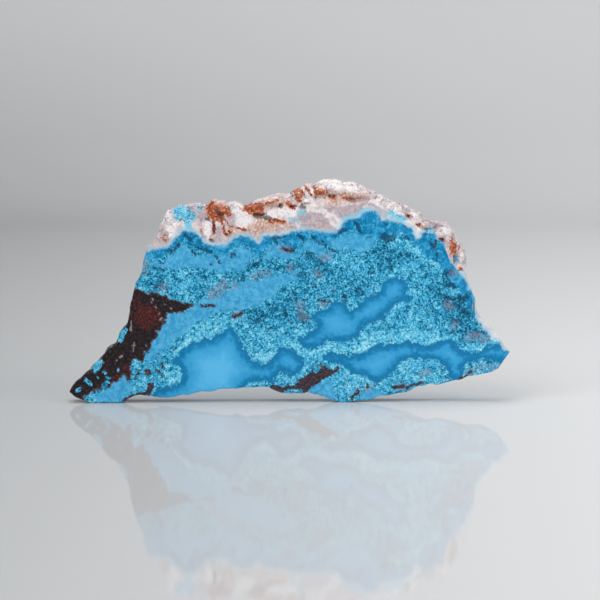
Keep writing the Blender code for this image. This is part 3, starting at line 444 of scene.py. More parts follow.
LILAC_MARKS = [
    (2.4, [(4.8, 45.8), (7.4, 45.4), (9.6, 44.6)]), (1.2, [(-32.4, 40.4), (-30.8, 41.4)]),
    (1.3, [(-14.2, 46.4), (-13.2, 45.4)]), (1.0, [(-17.8, 43.6), (-17.7, 41.4)]),
    (1.4, [(-23.8, 47.4), (-21.6, 46.8)]), (1.6, [(13.0, 47.6), (17.0, 48.4)]),
    (1.0, [(33.6, 43.8), (37.4, 43.6)]), (0.9, [(-9.6, 42.2), (-8.2, 42.6)]),
    (1.0, [(-29.0, 41.8), (-28.2, 43.4)]), (0.8, [(29.2, 46.6), (30.2, 46.4)]),
    (1.2, [(18.8, 50.8), (22.6, 50.0)]), (0.9, [(0.0, 44.6), (2.0, 46.2)]),
]
WHITE_MARKS = [
    (0.4, [(4.8, 48.2), (7.0, 48.0), (8.6, 47.5), (10.0, 46.0), (11.0, 44.4), (12.0, 43.6)]),
    (0.35, [(8.6, 48.0), (10.4, 47.0), (11.6, 45.9), (12.2, 45.2)]),
    (0.55, [(11.7, 44.3), (12.4, 44.3)]), (1.3, [(-30.6, 46.6), (-29.4, 44.2), (-29.2, 42.6)]),
    (1.6, [(-12.6, 48.2), (-11.4, 46.4), (-12.0, 45.0)]),
    (1.0, [(-4.6, 47.2), (-1.6, 47.6), (0.8, 47.2)]), (0.9, [(-20.9, 44.6), (-20.6, 42.4)]),
    (1.1, [(5.0, 52.6), (4.6, 50.8)]), (1.0, [(21.0, 50.4), (23.4, 49.8)]),
    (0.9, [(31.4, 46.8), (32.4, 44.8), (31.6, 42.4)]), (1.0, [(25.0, 48.8), (28.0, 47.2)]),
    (0.9, [(38.6, 42.8), (40.2, 42.0)]), (0.9, [(50.8, 16.6), (52.0, 15.8)]),
    (0.7, [(43.2, 36.8), (43.2, 35.2)]), (0.9, [(8.8, 54.3), (13.0, 54.2), (17.0, 53.4)]),
    (0.5, [(27.0, 45.9), (29.4, 44.9)]),
]
CYAN_MARKS = [
    (1.7, [(-27.2, 47.4), (-25.2, 47.0)]), (0.9, [(-25.4, 45.4), (-25.2, 43.6)]),
    (0.6, [(2.7, 47.6), (3.1, 47.6)]), (0.9, [(24.6, 47.6), (26.6, 46.6), (28.0, 46.0)]),
    (0.4, [(3.6, 43.4), (3.5, 42.8)]), (0.5, [(-22.8, 48.6), (-21.8, 48.8)]),
    (0.5, [(17.0, 46.8), (18.2, 47.8)]), (0.5, [(13.8, 46.0), (15.4, 46.6)]),
    (0.6, [(41.8, 35.2), (41.9, 35.6)]), (0.5, [(34.4, 43.2), (35.6, 43.2)]),
    (0.4, [(0.6, 46.0), (1.4, 45.6)]),
]
# Hollows: dark rust brown in the crust's pits, made darker as painted shade where the pits sink in.
HOLLOW_MARKS = [
    (0.35, [(-19.1, 45.0), (-18.9, 43.8), (-18.9, 42.6)]), (0.45, [(-19.7, 40.8), (-19.3, 40.6)]),
    (0.55, [(-8.7, 47.0), (-7.0, 46.6), (-5.0, 46.2)]), (0.3, [(-4.0, 45.9), (-3.0, 45.7)]),
    (0.3, [(-2.2, 49.6), (-2.2, 48.8)]), (0.3, [(0.9, 52.0), (1.1, 51.6)]),
    (0.35, [(-16.2, 42.4), (-15.9, 42.3)]), (0.3, [(-15.1, 42.8), (-14.8, 42.7)]),
    (0.6, [(-18.2, 48.4), (-17.4, 47.0), (-17.0, 46.2)]), (0.3, [(-15.3, 48.7), (-15.1, 48.5)]),
    (0.3, [(41.2, 36.2), (41.2, 35.4)]), (0.35, [(37.3, 40.6), (38.2, 40.6)]),
    (0.4, [(2.6, 49.0), (3.6, 49.0)]), (0.3, [(-20.9, 46.2), (-20.2, 45.8)]),
]

# Every set of strokes by the name of its depth field.
MARKS = {
    "brown": BROWN_MARKS, "navy": NAVY_MARKS, "stain": STAIN_MARKS, "fleck": TURQUOISE_IN_DARK,
    "spark": SPARK_MARKS, "red": RED_PATCH, "rust": RUST_MARKS, "tan": TAN_MARKS,
    "lilac": LILAC_MARKS, "white": WHITE_MARKS, "cyan": CYAN_MARKS, "hollow": HOLLOW_MARKS,
}


def curve(points, closed=False, parts=4):
    """The points joined by a smooth curve: between two of them, the cubic whose slope at each end
    is half the step between that end's neighbours."""
    points = np.array(points, float)
    if closed:
        before = np.roll(points, 1, axis=0)
        after = np.roll(points, -1, axis=0)
        beyond = np.roll(points, -2, axis=0)
    else:
        padded = np.vstack([2 * points[0] - points[1], points, 2 * points[-1] - points[-2]])
        before, points, after, beyond = padded[:-3], padded[1:-2], padded[2:-1], padded[3:]
    t = (np.arange(parts) / parts)[None, :, None]
    a, b, c, d = [part[:, None, :] for part in (before, points, after, beyond)]
    bends = b + 0.5 * t * (c - a + t * (2 * a - 5 * b + 4 * c - d + t * (3 * (b - c) + d - a)))
    return np.vstack([bends.reshape(-1, points.shape[1]), after[-1:]])


def distance(x, z, line):
    """Distance from each (x, z) to the nearest place on the line's straight runs."""
    best = np.full(x.shape, np.inf)
    for (ax, az), (bx, bz) in zip(line[:-1], line[1:]):
        run = max((bx - ax) ** 2 + (bz - az) ** 2, TINY)
        share = np.clip(((x - ax) * (bx - ax) + (z - az) * (bz - az)) / run, 0.0, 1.0)
        best = np.minimum(best, np.hypot(x - ax - share * (bx - ax), z - az - share * (bz - az)))
    return best


def depth_in(x, z, ring):
    """Distance to a closed outline, plus inside it and minus outside it. A point is inside where
    a level line from it crosses the outline an odd number of times."""
    ring = curve(ring, closed=True, parts=3)
    crossings = np.zeros(x.shape, int)
    for (ax, az), (bx, bz) in zip(ring[:-1], ring[1:]):
        if az == bz:
            continue
        crossings += ((az > z) != (bz > z)) & (x < (bx - ax) * (z - az) / (bz - az) + ax)
    return np.where(crossings % 2 == 1, 1.0, -1.0) * distance(x, z, ring)


def depth_in_marks(x, z, marks):
    """How deep each point lies in the strokes: the greatest of their half widths less its
    distance from them, and never less than NO_MARK."""
    best = np.full(x.shape, NO_MARK)
    for half, line in marks:
        best = np.maximum(best, half - distance(x, z, line))
    return best


def soft_spots(x, z, spots):
    """Sum over the spots of strength times exp(-r^2), r being the distance from the spot's middle
    in half sizes along its own turned axes."""
    total = np.zeros(x.shape)
    for cx, cz, wide, high, turn, strength in spots:
        c, s = math.cos(math.radians(turn)), math.sin(math.radians(turn))
        across = ((x - cx) * c + (z - cz) * s) / wide
        up = ((z - cz) * c - (x - cx) * s) / high
        total += strength * np.exp(-across ** 2 - up ** 2)
    return total


def chance(cell, seed):
    """A number from 0 to 1 for each whole-numbered cell (i, j, k), the same on every run: the
    fraction of a large sine of the cell's weighted sum."""
    a, b, c = CELL_WEIGHTS
    mix = cell[..., 0] * a + cell[..., 1] * b + cell[..., 2] * c + seed * SEED_WEIGHT
    value = np.sin(mix) * SINE_STRETCH
    return value - np.floor(value)


def ripple(points, size, seed):
    """Smooth noise from -1 to 1: chance values at the corners of cubes of the given size, blended
    with the weight 3t^2 - 2t^3 along each axis."""
    place = np.asarray(points, float) / size
    base = np.floor(place)
    t = place - base
    t = t * t * (3.0 - 2.0 * t)
    total = np.zeros(place.shape[:-1])
    for corner in np.ndindex(2, 2, 2):
        step = np.array(corner)
        weight = np.prod(np.where(step, t, 1.0 - t), axis=-1)
        total += weight * chance(base + step, seed)
    return 2.0 * total - 1.0


def grain(points, size, seed, octaves=3):
    """Ripples of size, size/2, size/4 and so on, each half as strong as the last, added up."""
    return sum(ripple(points, size / 2 ** k, seed + k) / 2 ** k for k in range(octaves))


def facets(points, size, seed):
    """Angular relief like packed crystals. Each point takes the plane of its nearest seed, one
    seed in each cube of the given size: 0.6, less half the distance to the seed, plus 1.3 times
    the offset along a random tilt, plus a random step of up to a quarter either way."""
    place = np.asarray(points, float) / size
    base = np.floor(place)
    nearest = np.full(place.shape[:-1], 9.0)
    height = np.zeros(place.shape[:-1])
    for step in np.ndindex(3, 3, 3):
        cell = base + np.array(step) - 1.0
        middle = cell + np.stack([chance(cell, seed + n) for n in range(3)], axis=-1)
        tilt = np.stack([chance(cell, seed + n) - 0.5 for n in range(3, 6)], axis=-1)
        offset = place - middle
        reach = np.linalg.norm(offset, axis=-1)
        lean = (tilt * offset).sum(axis=-1) * 1.3
        plane = 0.6 - 0.5 * reach + lean + 0.5 * (chance(cell, seed + 7) - 0.5)
        height = np.where(reach < nearest, plane, height)
        nearest = np.minimum(nearest, reach)
    return height


def blend(value, low, high):
    """0 below low, 1 above high, and 3t^2 - 2t^3 between."""
    t = np.clip((value - low) / (high - low), 0.0, 1.0)
    return t * t * (3.0 - 2.0 * t)


def mineral_fields(points):
    """For each point, in mm, how deep it lies in each mineral. The banding runs through the slab
    on a slant, so the fields are read at x and z shifted in proportion to the depth y behind the
    polished face, and bent a little more by noise the deeper it goes."""
    behind = points[:, 1] - FRONT
    bend = blend(behind, 0.5, THICK)
    x = points[:, 0] + SLANT_X * behind + BEND * bend * ripple(points, BEND_SIZE, 31)
    z = points[:, 2] + SLANT_Z * behind + BEND * bend * ripple(points, BEND_SIZE, 47)
    fields = {name + "_depth": depth_in_marks(x, z, marks) for name, marks in MARKS.items()}
    fields["brown_depth"] = np.maximum(fields["brown_depth"], depth_in(x, z, BROWN_PATCH))
    for name, rings in ZONES.items():
        fields[name + "_depth"] = np.max([depth_in(x, z, ring) for ring in rings], axis=0)
    fields["tone"] = soft_spots(x, z, TONES)
    return fields


def facing_out(points, faces):
    """The triangles, turned over if the volume that they close is negative."""
    p, q, r = [points[faces[:, corner]] for corner in range(3)]
    return faces[:, ::-1] if (p * np.cross(q, r)).sum() < 0.0 else faces


def wrap_grid(grid):
    """Triangles between neighbouring columns of a grid of points (column, place round the ring),
    the ring closing on itself, with doubled points merged and empty triangles dropped. Returns
    points and triangles."""
    columns, around = grid.shape[:2]
    points = grid.reshape(-1, 3)
    keys = np.round(points / MERGE).astype(np.int64)
    _, first, merged = np.unique(keys, axis=0, return_index=True, return_inverse=True)
    merged = merged.reshape(columns, around)
    a = merged[:-1]
    b = merged[1:]
    c = np.roll(b, -1, axis=1)
    d = np.roll(a, -1, axis=1)
    halves = [np.stack(corners, -1).reshape(-1, 3) for corners in ((a, b, c), (a, c, d))]
    faces = np.concatenate(halves)
    i, j, k = faces.T
    return points[first], facing_out(points[first], faces[(i != j) & (j != k) & (i != k)])


def add_piece(name, points, faces, material, fields=None, smooth=True):
    """A mesh object at the origin from points in mm and triangles, riding on the slab's body."""
    mesh = bpy.data.meshes.new(name)
    mesh.vertices.add(len(points))
    mesh.vertices.foreach_set("co", (points * MM).astype(np.float32).ravel())
    mesh.loops.add(faces.size)
    mesh.loops.foreach_set("vertex_index", faces.astype(np.int32).ravel())
    mesh.polygons.add(len(faces))
    mesh.polygons.foreach_set("loop_start", np.arange(0, faces.size, 3, dtype=np.int32))
    mesh.update(calc_edges=True)
    mesh.validate()
    mesh.polygons.foreach_set("use_smooth", np.full(len(mesh.polygons), smooth))
    for title, values in (fields or {}).items():
        layer = mesh.attributes.new(title, "FLOAT", "POINT")
        layer.data.foreach_set("value", np.asarray(values, np.float32))
    mesh.materials.append(material)
    piece = bpy.data.objects.new(name, mesh)
    bpy.context.scene.collection.objects.link(piece)
    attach(piece, "root")
    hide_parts(NODE)


def steps_of(points):
    """Lengths of the straight runs between neighbouring points (x, z)."""
    return np.hypot(*np.diff(np.array(points, float)[:, :2], axis=0).T)


def along(table, places):
    """The table's columns at the given distances along its first two, x and z. places is a
    function of the whole length."""
    table = np.array(table, float)
    travelled = np.concatenate([[0.0], np.cumsum(steps_of(table))])
    wanted = places(travelled[-1])
    return np.column_stack([np.interp(wanted, travelled, column) for column in table.T])


def spaced(points, count):
    """count places evenly spaced along the straight runs through the points, both ends kept."""
    return along(points, lambda length: np.linspace(0.0, length, count))


def side_of(line, up):
    """Unit vectors square to a line that runs left to right, pointing up or down, each averaged
    six times with its neighbours."""
    step = np.gradient(line, axis=0)
    normal = np.column_stack([-step[:, 1], step[:, 0]]) * (1.0 if up else -1.0)
    normal = normal / np.maximum(np.hypot(*normal.T), 1e-6)[:, None]
    for _ in range(6):
        normal[1:-1] = (normal[:-2] + 2 * normal[1:-1] + normal[2:]) / 4
    return normal / np.hypot(*normal.T)[:, None]


def at_depth(flat, y):
    """Places (x, z) as points (x, y, z)."""
    return np.stack([flat[..., 0], np.full(flat.shape[:-1], y), flat[..., 1]], axis=-1)


def between(start, end, shares):
    """For each pair of places, the places at the given shares of the straight way between."""
    return start[:, None, :] + (end - start)[:, None, :] * shares[None, :, None]


def upper_chain(left_count=620, crust_count=1400, right_count=380):
    """The outline from the left tip over the top to the right tip, with the polish's edge beside
    it and 1 where crust grows: a table of x, z, polish x, polish z, crust."""
    left = spaced(LEFT_SIDE[::-1], left_count)
    crust = spaced(CRUST_EDGE[::-1], crust_count)
    polish = spaced(POLISH_LIMIT[::-1], crust_count)
    right = spaced(RIGHT_SIDE[::-1], right_count)
    crusted = slice(left_count, left_count + crust_count - 1)
    line = np.vstack([left, crust[1:], right[1:, :2]])
    inset = np.full(len(line), EDGE_INSET)
    inset[1 - right_count:] = right[1:, 2]
    edge = line - side_of(line, True) * inset[:, None]
    edge[crusted] = polish[1:]
    flag = np.zeros(len(line))
    flag[crusted] = 1.0
    return np.column_stack([line, edge, flag])


def slope_of(line, edge):
    """How far the broken rim falls back from the polished face: more, the further from the
    outline the polish stops."""
    reach = np.hypot(*(line - edge).T)
    return np.minimum(CHAMFER + SLOPE * (reach - EDGE_INSET), DEEPEST_SLOPE)


def rim_rows(line, edge, back, normal, level, rows, crusted):
    """The rim of the slab from the polished face to the sawn back, for each place on the outline.
    The first third climbs from the polish's edge to the outline along a quarter wave, while the
    depth sinks by slope_of(line, edge). The rest runs back to the sawn face, in by a ledge, the
    ledge being two steps whose depth follows noise along the rim. Under the crust it is a plain
    slant. level is 1 where the rim is smooth and without ledges, at the feet and the tips."""
    rounded, ledged = 0.34, 0.66
    drop = slope_of(line, edge)[:, None]
    free = 1.0 - level[:, None]
    t = np.linspace(0.0, 1.0, rows)
    out = np.clip(t / rounded, 0.0, 1.0)
    away = np.clip((t - rounded) / ledged, 0.0, 1.0)
    y = FRONT + drop * (1.0 - np.cos(out * math.pi / 2)) ** 0.8
    y = y + (THICK - drop) * away
    step = np.clip(0.5 + 0.9 * grain(at_depth(line, 0.0), 6.0, 20), 0.0, 1.0)[:, None]
    ledge = LEDGE_DEPTH * step * (0.55 * blend(away, 0.25, 0.38) + 0.45 * blend(away, 0.6, 0.72))
    fall = ledge * (1.0 - blend(away, 0.86, 1.0)) * free
    inward = (back - line)[:, None, :] * blend(away, 0.8, 1.0)[None, :, None]
    flat = between(edge, line, np.sin(out * math.pi / 2))
    place = at_depth(flat - normal[:, None, :] * fall[..., None] + inward, y)
    rough = 0.30 * grain(place, 3.2, 60) + 0.10 * facets(place, 1.4, 75)
    rough = rough * blend(t, 0.0, 0.25) * (1.0 - blend(t, 0.93, 1.0)) * free
    place = place + at_depth(normal[:, None, :] * rough[..., None], 0.0)
    slant = at_depth(between(edge, back, t), FRONT + THICK * t)
    return place + (slant - place) * crusted[:, None, None]


def slab_grid(columns=430, face_rows=118, rim=24, back_rows=44):
    """The slab as one closed skin. Each column is a ring round the slab's section: up the sawn
    back, over the upper rim, down the polished face and under the lower rim. Columns run from
    the left tip to the right tip, where the ring shrinks to the tip's edge."""
    share = np.linspace(0.0, 1.0, columns)
    upper = along(upper_chain(), lambda length: share * length)
    lower = spaced(LOWER_EDGE, columns)
    top, top_edge, crusted = upper[:, :2], upper[:, 2:4], blend(upper[:, 4], 0.0, 1.0)
    up = side_of(top, True)
    down = side_of(lower, False)
    tip = blend(np.minimum(share, 1.0 - share) * steps_of(LOWER_EDGE).sum(), 0.0, TIP)[:, None]
    wander = RIM_WANDER * grain(at_depth(top, 0.0), 1.1, 5)[:, None]
    top_edge = top + (top_edge - top) * tip - up * wander * tip * (1.0 - crusted[:, None])
    fall = BACK_INSET + (BACK_CRUST_INSET - BACK_INSET) * crusted[:, None]
    top_back = top - up * fall * tip
    chip = RIM_WANDER * np.abs(grain(at_depth(lower, 0.0), 0.9, 15))[:, None]
    low_edge = lower - down * (EDGE_INSET + chip) * tip
    low_back = lower - down * BACK_INSET * tip
    level = np.maximum(1.0 - tip[:, 0], 0.0)
    feet = blend(0.12 - lower[:, 1], 0.0, 0.1)
    over = rim_rows(top, top_edge, top_back, up, level, rim, crusted)
    under = rim_rows(lower, low_edge, low_back, down, np.maximum(level, feet), rim, 0.0 * level)
    under[..., 2] = np.maximum(under[..., 2], 0.0)
    face = between(top_edge, low_edge, np.linspace(0.0, 1.0, face_rows)[1:-1])
    back = between(low_back, top_back, np.linspace(0.0, 1.0, back_rows)[1:-1])
    return np.concatenate([at_depth(back, REAR), over[:, ::-1], at_depth(face, FRONT), under], 1)


def unit(vectors):
    """The vectors made 1 long."""
    return vectors / np.maximum(np.linalg.norm(vectors, axis=-1), TINY)[..., None]


def normals_of(sheet):
    """Unit normals of a grid of points, from the cross product of its two steps."""
    return unit(np.cross(np.gradient(sheet, axis=1), np.gradient(sheet, axis=0)))


def faced(normals, row):
    """The normals, turned over if the one halfway along the given row looks backwards."""
    return -normals if normals[len(normals) // 2, row, 1] > 0.0 else normals


def crust_sheet(line, edge, normal, front_rows, top_rows):
    """The crust's outside before any relief. The front falls back from the polish's edge along a
    sine to the power 1.2. The top arches along a half wave, and draws in towards the back."""
    drop = slope_of(line, edge)[:, None]
    t = np.linspace(0.0, 1.0, front_rows)
    y = FRONT + drop * np.sin(t[None, :] * math.pi / 2) ** 1.2
    front = at_depth(between(edge, line, t), y)
    t = np.linspace(0.0, 1.0, top_rows + 1)[None, 1:]
    arch = ARCH * np.sin(t * math.pi) - BACK_CRUST_INSET * blend(t, 0.62, 1.0)
    flat = line[:, None, :] + normal[:, None, :] * arch[..., None]
    return np.concatenate([front, at_depth(flat, FRONT + drop + (THICK - drop) * t)], axis=1)


def with_growths(place, relief, on_front):
    """The depth y of the crust's points, brought forward where a growth stands: half an ellipsoid
    with an uneven outline, a little relief and, on rust, finer grain."""
    x, y, z = place[..., 0], place[..., 1], place[..., 2]
    for cx, cz, wide, high, kind in GROWTHS:
        deep = min(wide, high) * 1.05
        wide = wide * (1.0 + 0.14 * ripple(place, 1.3, 170))
        high = high * (1.0 + 0.14 * ripple(place, 1.1, 171))
        spread = 1.0 - ((x - cx) / wide) ** 2 - ((z - cz) / high) ** 2
        bulge = FRONT + 0.3 + deep - deep * np.sqrt(np.maximum(spread, 0.0))
        bulge = bulge + 0.16 * relief + (0.12 * grain(place, 0.8, 172) if kind == "rust" else 0.0)
        y = np.where((spread > 0.0) & on_front, np.minimum(y, bulge), y)
    return y


def crust_grid(columns=640, front_rows=46, top_rows=44, inner_rows=8):
    """The crust as one closed skin. Each column is a ring: from the polish's edge up the rough
    front to the outline, back over the top to the sawn face, and home through the slab along a
    half wave. Front and top are raised along their smoothed normals by facets and grain, less
    0.35. Pits are sunk into the front by exp(-u^4 - v^4), u and v in half sizes."""
    line = spaced(CRUST_EDGE[::-1], columns)
    edge = spaced(POLISH_LIMIT[::-1], columns)
    normal = side_of(line, True)
    outer = crust_sheet(line, edge, normal, front_rows, top_rows)
    lift = normals_of(outer)
    for _ in range(8):
        lift[:, 1:-1] = (lift[:, :-2] + lift[:, 1:-1] + lift[:, 2:]) / 3
        lift[1:-1] = (lift[:-2] + lift[1:-1] + lift[2:]) / 3
    lift = faced(unit(lift), front_rows // 3)
    to_end = np.minimum(np.linspace(0, 1, columns), np.linspace(1, 0, columns)) * CRUST_LENGTH
    rows = outer.shape[1]
    row = np.arange(rows)[None, :]
    room = blend(row, 0.0, 7.0) * (1.0 - blend(row, rows - 9.0, rows - 1.0))
    room = room * blend(to_end, 0.0, CRUST_TAPER)[:, None]
    relief = 0.55 * facets(outer, 2.1, 101) + 0.30 * facets(outer, 0.95, 131)
    relief = relief + 0.30 * grain(outer, 2.6, 151) - 0.35
    place = outer + lift * (relief * room)[..., None]
    x, z = place[..., 0], place[..., 2]
    y = with_growths(place, relief, row < front_rows + 6)
    for cx, cz, wide, high in PITS:
        sunk = np.exp(-((x - cx) / wide) ** 4 - ((z - cz) / high) ** 4)
        y = y + PIT_DEPTH * sunk * (row < front_rows) * blend(row, 0.0, 3.0)
    place[..., 1] = np.clip(y, FRONT - PROUD * (row > 0), REAR)
    t = np.linspace(0.0, 1.0, inner_rows + 2)[1:-1]
    sunk = normal[:, None, :] * (ROOT_DEPTH * np.sin(t * math.pi))[None, :, None]
    inner = between(place[:, -1], place[:, 0], t) - at_depth(sunk, 0.0)
    grid = np.concatenate([place, inner], axis=1)
    first, last = [np.broadcast_to(ring.mean(axis=0), ring.shape)[None] for ring in grid[[0, -1]]]
    return np.concatenate([first, grid, last], axis=0)


def druse(places, normals, lengths, radii, leans, turns):
    """Six-sided quartz crystals as one mesh, all worked out together. Along its axis each has a
    foot ring, a shoulder ring and a point; round the axis the corner n lies at 60n degrees, and
    every second face of the point starts a little lower, as on real quartz."""
    axis = unit(normals + leans)
    upright = np.abs(axis[:, :1]) > 0.8
    side = unit(np.cross(axis, np.where(upright, [[0.0, 1.0, 0.0]], [[1.0, 0.0, 0.0]])))
    other = np.cross(axis, side)
    n = np.arange(6)
    m = (n + 1) % 6
    foot_middle, tip_corner, corners = 12, 13, 14
    angle = turns[:, None] + n[None, :] * math.pi / 3
    spoke = side[:, None, :] * np.cos(angle)[..., None] + other[:, None, :] * np.sin(angle)[..., None]
    wide = radii[:, None] * (1.0 + 0.18 * np.sin(angle * 2.0 + turns[:, None] * 9.0))
    foot = places[:, None, :] + spoke * wide[..., None]
    step = np.where(n % 2, 0.16, -0.16)[None, :] * radii[:, None]
    rise = (lengths[:, None] - radii[:, None] * 1.05) + step
    shoulder = places[:, None, :] + axis[:, None, :] * rise[..., None]
    shoulder = shoulder + spoke * (wide * 0.93)[..., None]
    tip = places + axis * lengths[:, None] + spoke[:, 0] * (radii * 0.15)[:, None]
    points = np.concatenate([foot, shoulder, places[:, None, :], tip[:, None, :]], axis=1)
    wall = np.concatenate([np.stack([n, m, m + 6], -1), np.stack([n, m + 6, n + 6], -1)])
    point = np.stack([n + 6, m + 6, np.full(6, tip_corner)], -1)
    base = np.stack([m, n, np.full(6, foot_middle)], -1)
    one = np.concatenate([wall, point, base])
    faces = (one[None, :, :] + (np.arange(len(places)) * corners)[:, None, None]).reshape(-1, 3)
    return points, facing_out(points.reshape(-1, 3), faces)


def shade(red, green, blue):
    """A colour in screen values from 0 to 255, as the linear values that shaders take."""
    value = np.array([red, green, blue]) / 255.0
    linear = np.where(value <= 0.04045, value / 12.92, ((value + 0.055) / 1.055) ** 2.4)
    return (*linear.tolist(), 1.0)


def wire(tree, node, inputs):
    """Sets a node's inputs, or wires those whose value is the output of another node."""
    for key, value in inputs.items():
        if isinstance(value, bpy.types.NodeSocket):
            tree.links.new(value, node.inputs[key])
        else:
            node.inputs[key].default_value = value
    return node


def put(tree, kind, inputs, **settings):
    """A shader node with its settings and inputs."""
    made = tree.nodes.new("ShaderNode" + kind)
    for key, value in settings.items():
        setattr(made, key, value)
    return wire(tree, made, inputs)


def calc(tree, operation, a, b=0.0):
    """The result of one Math node."""
    return put(tree, "Math", {0: a, 1: b}, operation=operation).outputs[0]


def plus(tree, total, *terms):
    """The values added up from the left."""
    for term in terms:
        total = calc(tree, "ADD", total, term)
    return total


def times(tree, a, b):
    return calc(tree, "MULTIPLY", a, b)


def swing(tree, value, strength):
    """A value from 0 to 1 as a push of up to half the strength either way."""
    return times(tree, calc(tree, "SUBTRACT", value, 0.5), strength)


def mixed(tree, mask, under, over, strength=None):
    """under where the mask is 0, over where it is 1, or as much of it as strength says."""
    if strength is not None:
        mask = times(tree, mask, strength)
    return put(tree, "Mix", {0: mask, 6: under, 7: over}, data_type="RGBA").outputs[2]


def noise(tree, place, scale, detail=3.0, roughness=0.55, distortion=0.0):
    """Noise from 0 to 1, scale being its waves per mm."""
    sizes = {"Scale": scale, "Detail": detail, "Roughness": roughness, "Distortion": distortion}
    return put(tree, "TexNoise", {"Vector": place, **sizes}).outputs["Fac"]


def cells(tree, place, scale):
    """Distance to the nearest of many scattered seeds, scale being the seeds per mm."""
    return put(tree, "TexVoronoi", {"Vector": place, "Scale": scale}).outputs["Distance"]


def ramp(tree, value, *stops):
    """Colour stops, each a place from 0 to 1 and a screen colour."""
    made = put(tree, "ValToRGB", {"Fac": value})
    bar = made.color_ramp
    bar.elements.remove(bar.elements[1])
    bar.elements[0].position = stops[0][0]
    bar.elements[0].color = shade(*stops[0][1:])
    for place, *colour in stops[1:]:
        bar.elements.new(place).color = shade(*colour)
    return made.outputs["Color"]


def span(tree, value, low, high, style="SMOOTHSTEP"):
    """0 at low, 1 at high, level beyond them."""
    ends = {"Value": value, "From Min": low, "From Max": high, "To Min": 0.0, "To Max": 1.0}
    return put(tree, "MapRange", ends, interpolation_type=style).outputs[0]


def new_group(name, inputs, outputs):
    """An empty shader group, its inputs' sockets and its output node. inputs: name to default, a
    number or a vector. outputs: name to kind."""
    tree = bpy.data.node_groups.new(name, "ShaderNodeTree")
    for title, default in inputs.items():
        kind = "NodeSocketVector" if isinstance(default, tuple) else "NodeSocketFloat"
        socket = tree.interface.new_socket(title, in_out="INPUT", socket_type=kind)
        socket.default_value = default
    for title, kind in outputs.items():
        tree.interface.new_socket(title, in_out="OUTPUT", socket_type="NodeSocket" + kind)
    return tree, tree.nodes.new("NodeGroupInput").outputs, tree.nodes.new("NodeGroupOutput")


def use(tree, group, inputs):
    """The outputs of a group placed in a tree."""
    made = tree.nodes.new("ShaderNodeGroup")
    made.node_tree = GROUPS[group]
    return wire(tree, made, inputs).outputs


def ragged_edge():
    """Turns a depth in mm into a mask whose edge wanders with noise."""
    start = {"Depth": 0.0, "Position": ORIGIN, "Wander": 0.4, "Grain": 1.2, "Softness": 0.15}
    tree, given, result = new_group("Ragged edge", start, {"Mask": "Float"})
    wobble = noise(tree, given["Position"], given["Grain"], 4.0, 0.62)
    push = swing(tree, wobble, times(tree, given["Wander"], 5.5))
    depth = plus(tree, given["Depth"], push)
    soft = given["Softness"]
    wire(tree, result, {"Mask": span(tree, depth, times(tree, soft, -1.0), soft)})
    return tree


def speckled_stone():
    """Grainy shattuckite: pale fibres and dark gaps about half a millimetre across."""
    start = {"Position": ORIGIN, "Tone": 0.0, "Contrast": 1.0}
    kinds = {"Color": "Color", "Gaps": "Float"}
    tree, given, result = new_group("Speckled stone", start, kinds)
    place, tone = given["Position"], given["Tone"]
    coarse = swing(tree, noise(tree, place, 1.15, 3.0, 0.62, 1.2), 1.1)
    fine = swing(tree, noise(tree, place, 3.1, 1.0, 0.5, 0.3), 0.5)
    broad = swing(tree, noise(tree, place, 0.22, 2.0, 0.5), 0.18)
    both = times(tree, plus(tree, coarse, fine), given["Contrast"])
    value = plus(tree, both, plus(tree, times(tree, tone, 0.10), broad), 0.5)
    colour = ramp(
        tree, value, (0.20, 0, 52, 76), (0.33, 2, 88, 118), (0.42, 14, 126, 164),
        (0.48, 42, 158, 204), (0.58, 78, 184, 222), (0.68, 124, 212, 236), (0.80, 176, 232, 244))
    gate = plus(tree, noise(tree, place, 0.55, 1.0), times(tree, tone, -0.10))
    dots = times(tree, span(tree, cells(tree, place, 1.35), 0.34, 0.2), span(tree, gate, 0.44, 0.54))
    colour = mixed(tree, dots, colour, shade(0, 44, 66), 0.85)
    wire(tree, result, {"Color": colour, "Gaps": span(tree, value, 0.2, 0.7)})
    return tree


def milky_quartz():
    """Quartz from white to lilac grey with tan and rust stains, dark rust with painted shade in the
    hollows, and its fine relief in mm.
    """
    masks = {"White": 0.0, "Lilac": 0.0, "Tan": 0.0, "Rust": 0.0, "Hollow": 0.0}
    kinds = {"Color": "Color", "Height": "Float"}
    tree, given, result = new_group("Milky quartz", {"Position": ORIGIN, **masks}, kinds)
    place = given["Position"]
    sand = noise(tree, place, 1.7, 3.0, 0.65)
    cloud = ramp(
        tree, noise(tree, place, 0.42, 3.0, 0.6, 0.6),
        (0.30, 186, 170, 178), (0.44, 216, 202, 206), (0.54, 236, 226, 226), (0.68, 246, 242, 242))
    grit = ramp(tree, sand, (0.32, 176, 150, 146), (0.46, 226, 212, 210), (0.58, 246, 240, 238))
    dimmed = {"data_type": "RGBA", "blend_type": "MULTIPLY"}
    colour = put(tree, "Mix", {0: 0.4, 6: cloud, 7: grit}, **dimmed).outputs[2]
    lilac = ramp(tree, sand, (0.35, 160, 142, 150), (0.6, 196, 180, 188))
    tan = ramp(tree, sand, (0.34, 168, 118, 92), (0.5, 208, 164, 140), (0.66, 238, 214, 200))
    white = ramp(tree, sand, (0.34, 226, 214, 216), (0.56, 252, 248, 248))
    rust = ramp(
        tree, noise(tree, place, 1.4, 3.0, 0.7, 0.4), (0.30, 84, 30, 12), (0.43, 146, 60, 26),
        (0.53, 190, 94, 50), (0.63, 222, 150, 106), (0.76, 240, 204, 176))
    colour = mixed(tree, given["Lilac"], colour, lilac, 0.8)
    colour = mixed(tree, given["Tan"], colour, tan, 0.75)
    colour = mixed(tree, given["White"], colour, white, 0.85)
    colour = mixed(tree, given["Rust"], colour, rust)
    # The hollows' dark brown: rust, deepened as painted shade in the pits.
    colour = mixed(tree, given["Hollow"], colour, shade(62, 26, 18), 0.75)
    height = plus(tree, times(tree, cells(tree, place, 1.6), -0.12), times(tree, sand, 0.22))
    wire(tree, result, {"Color": colour, "Height": height})
    return tree


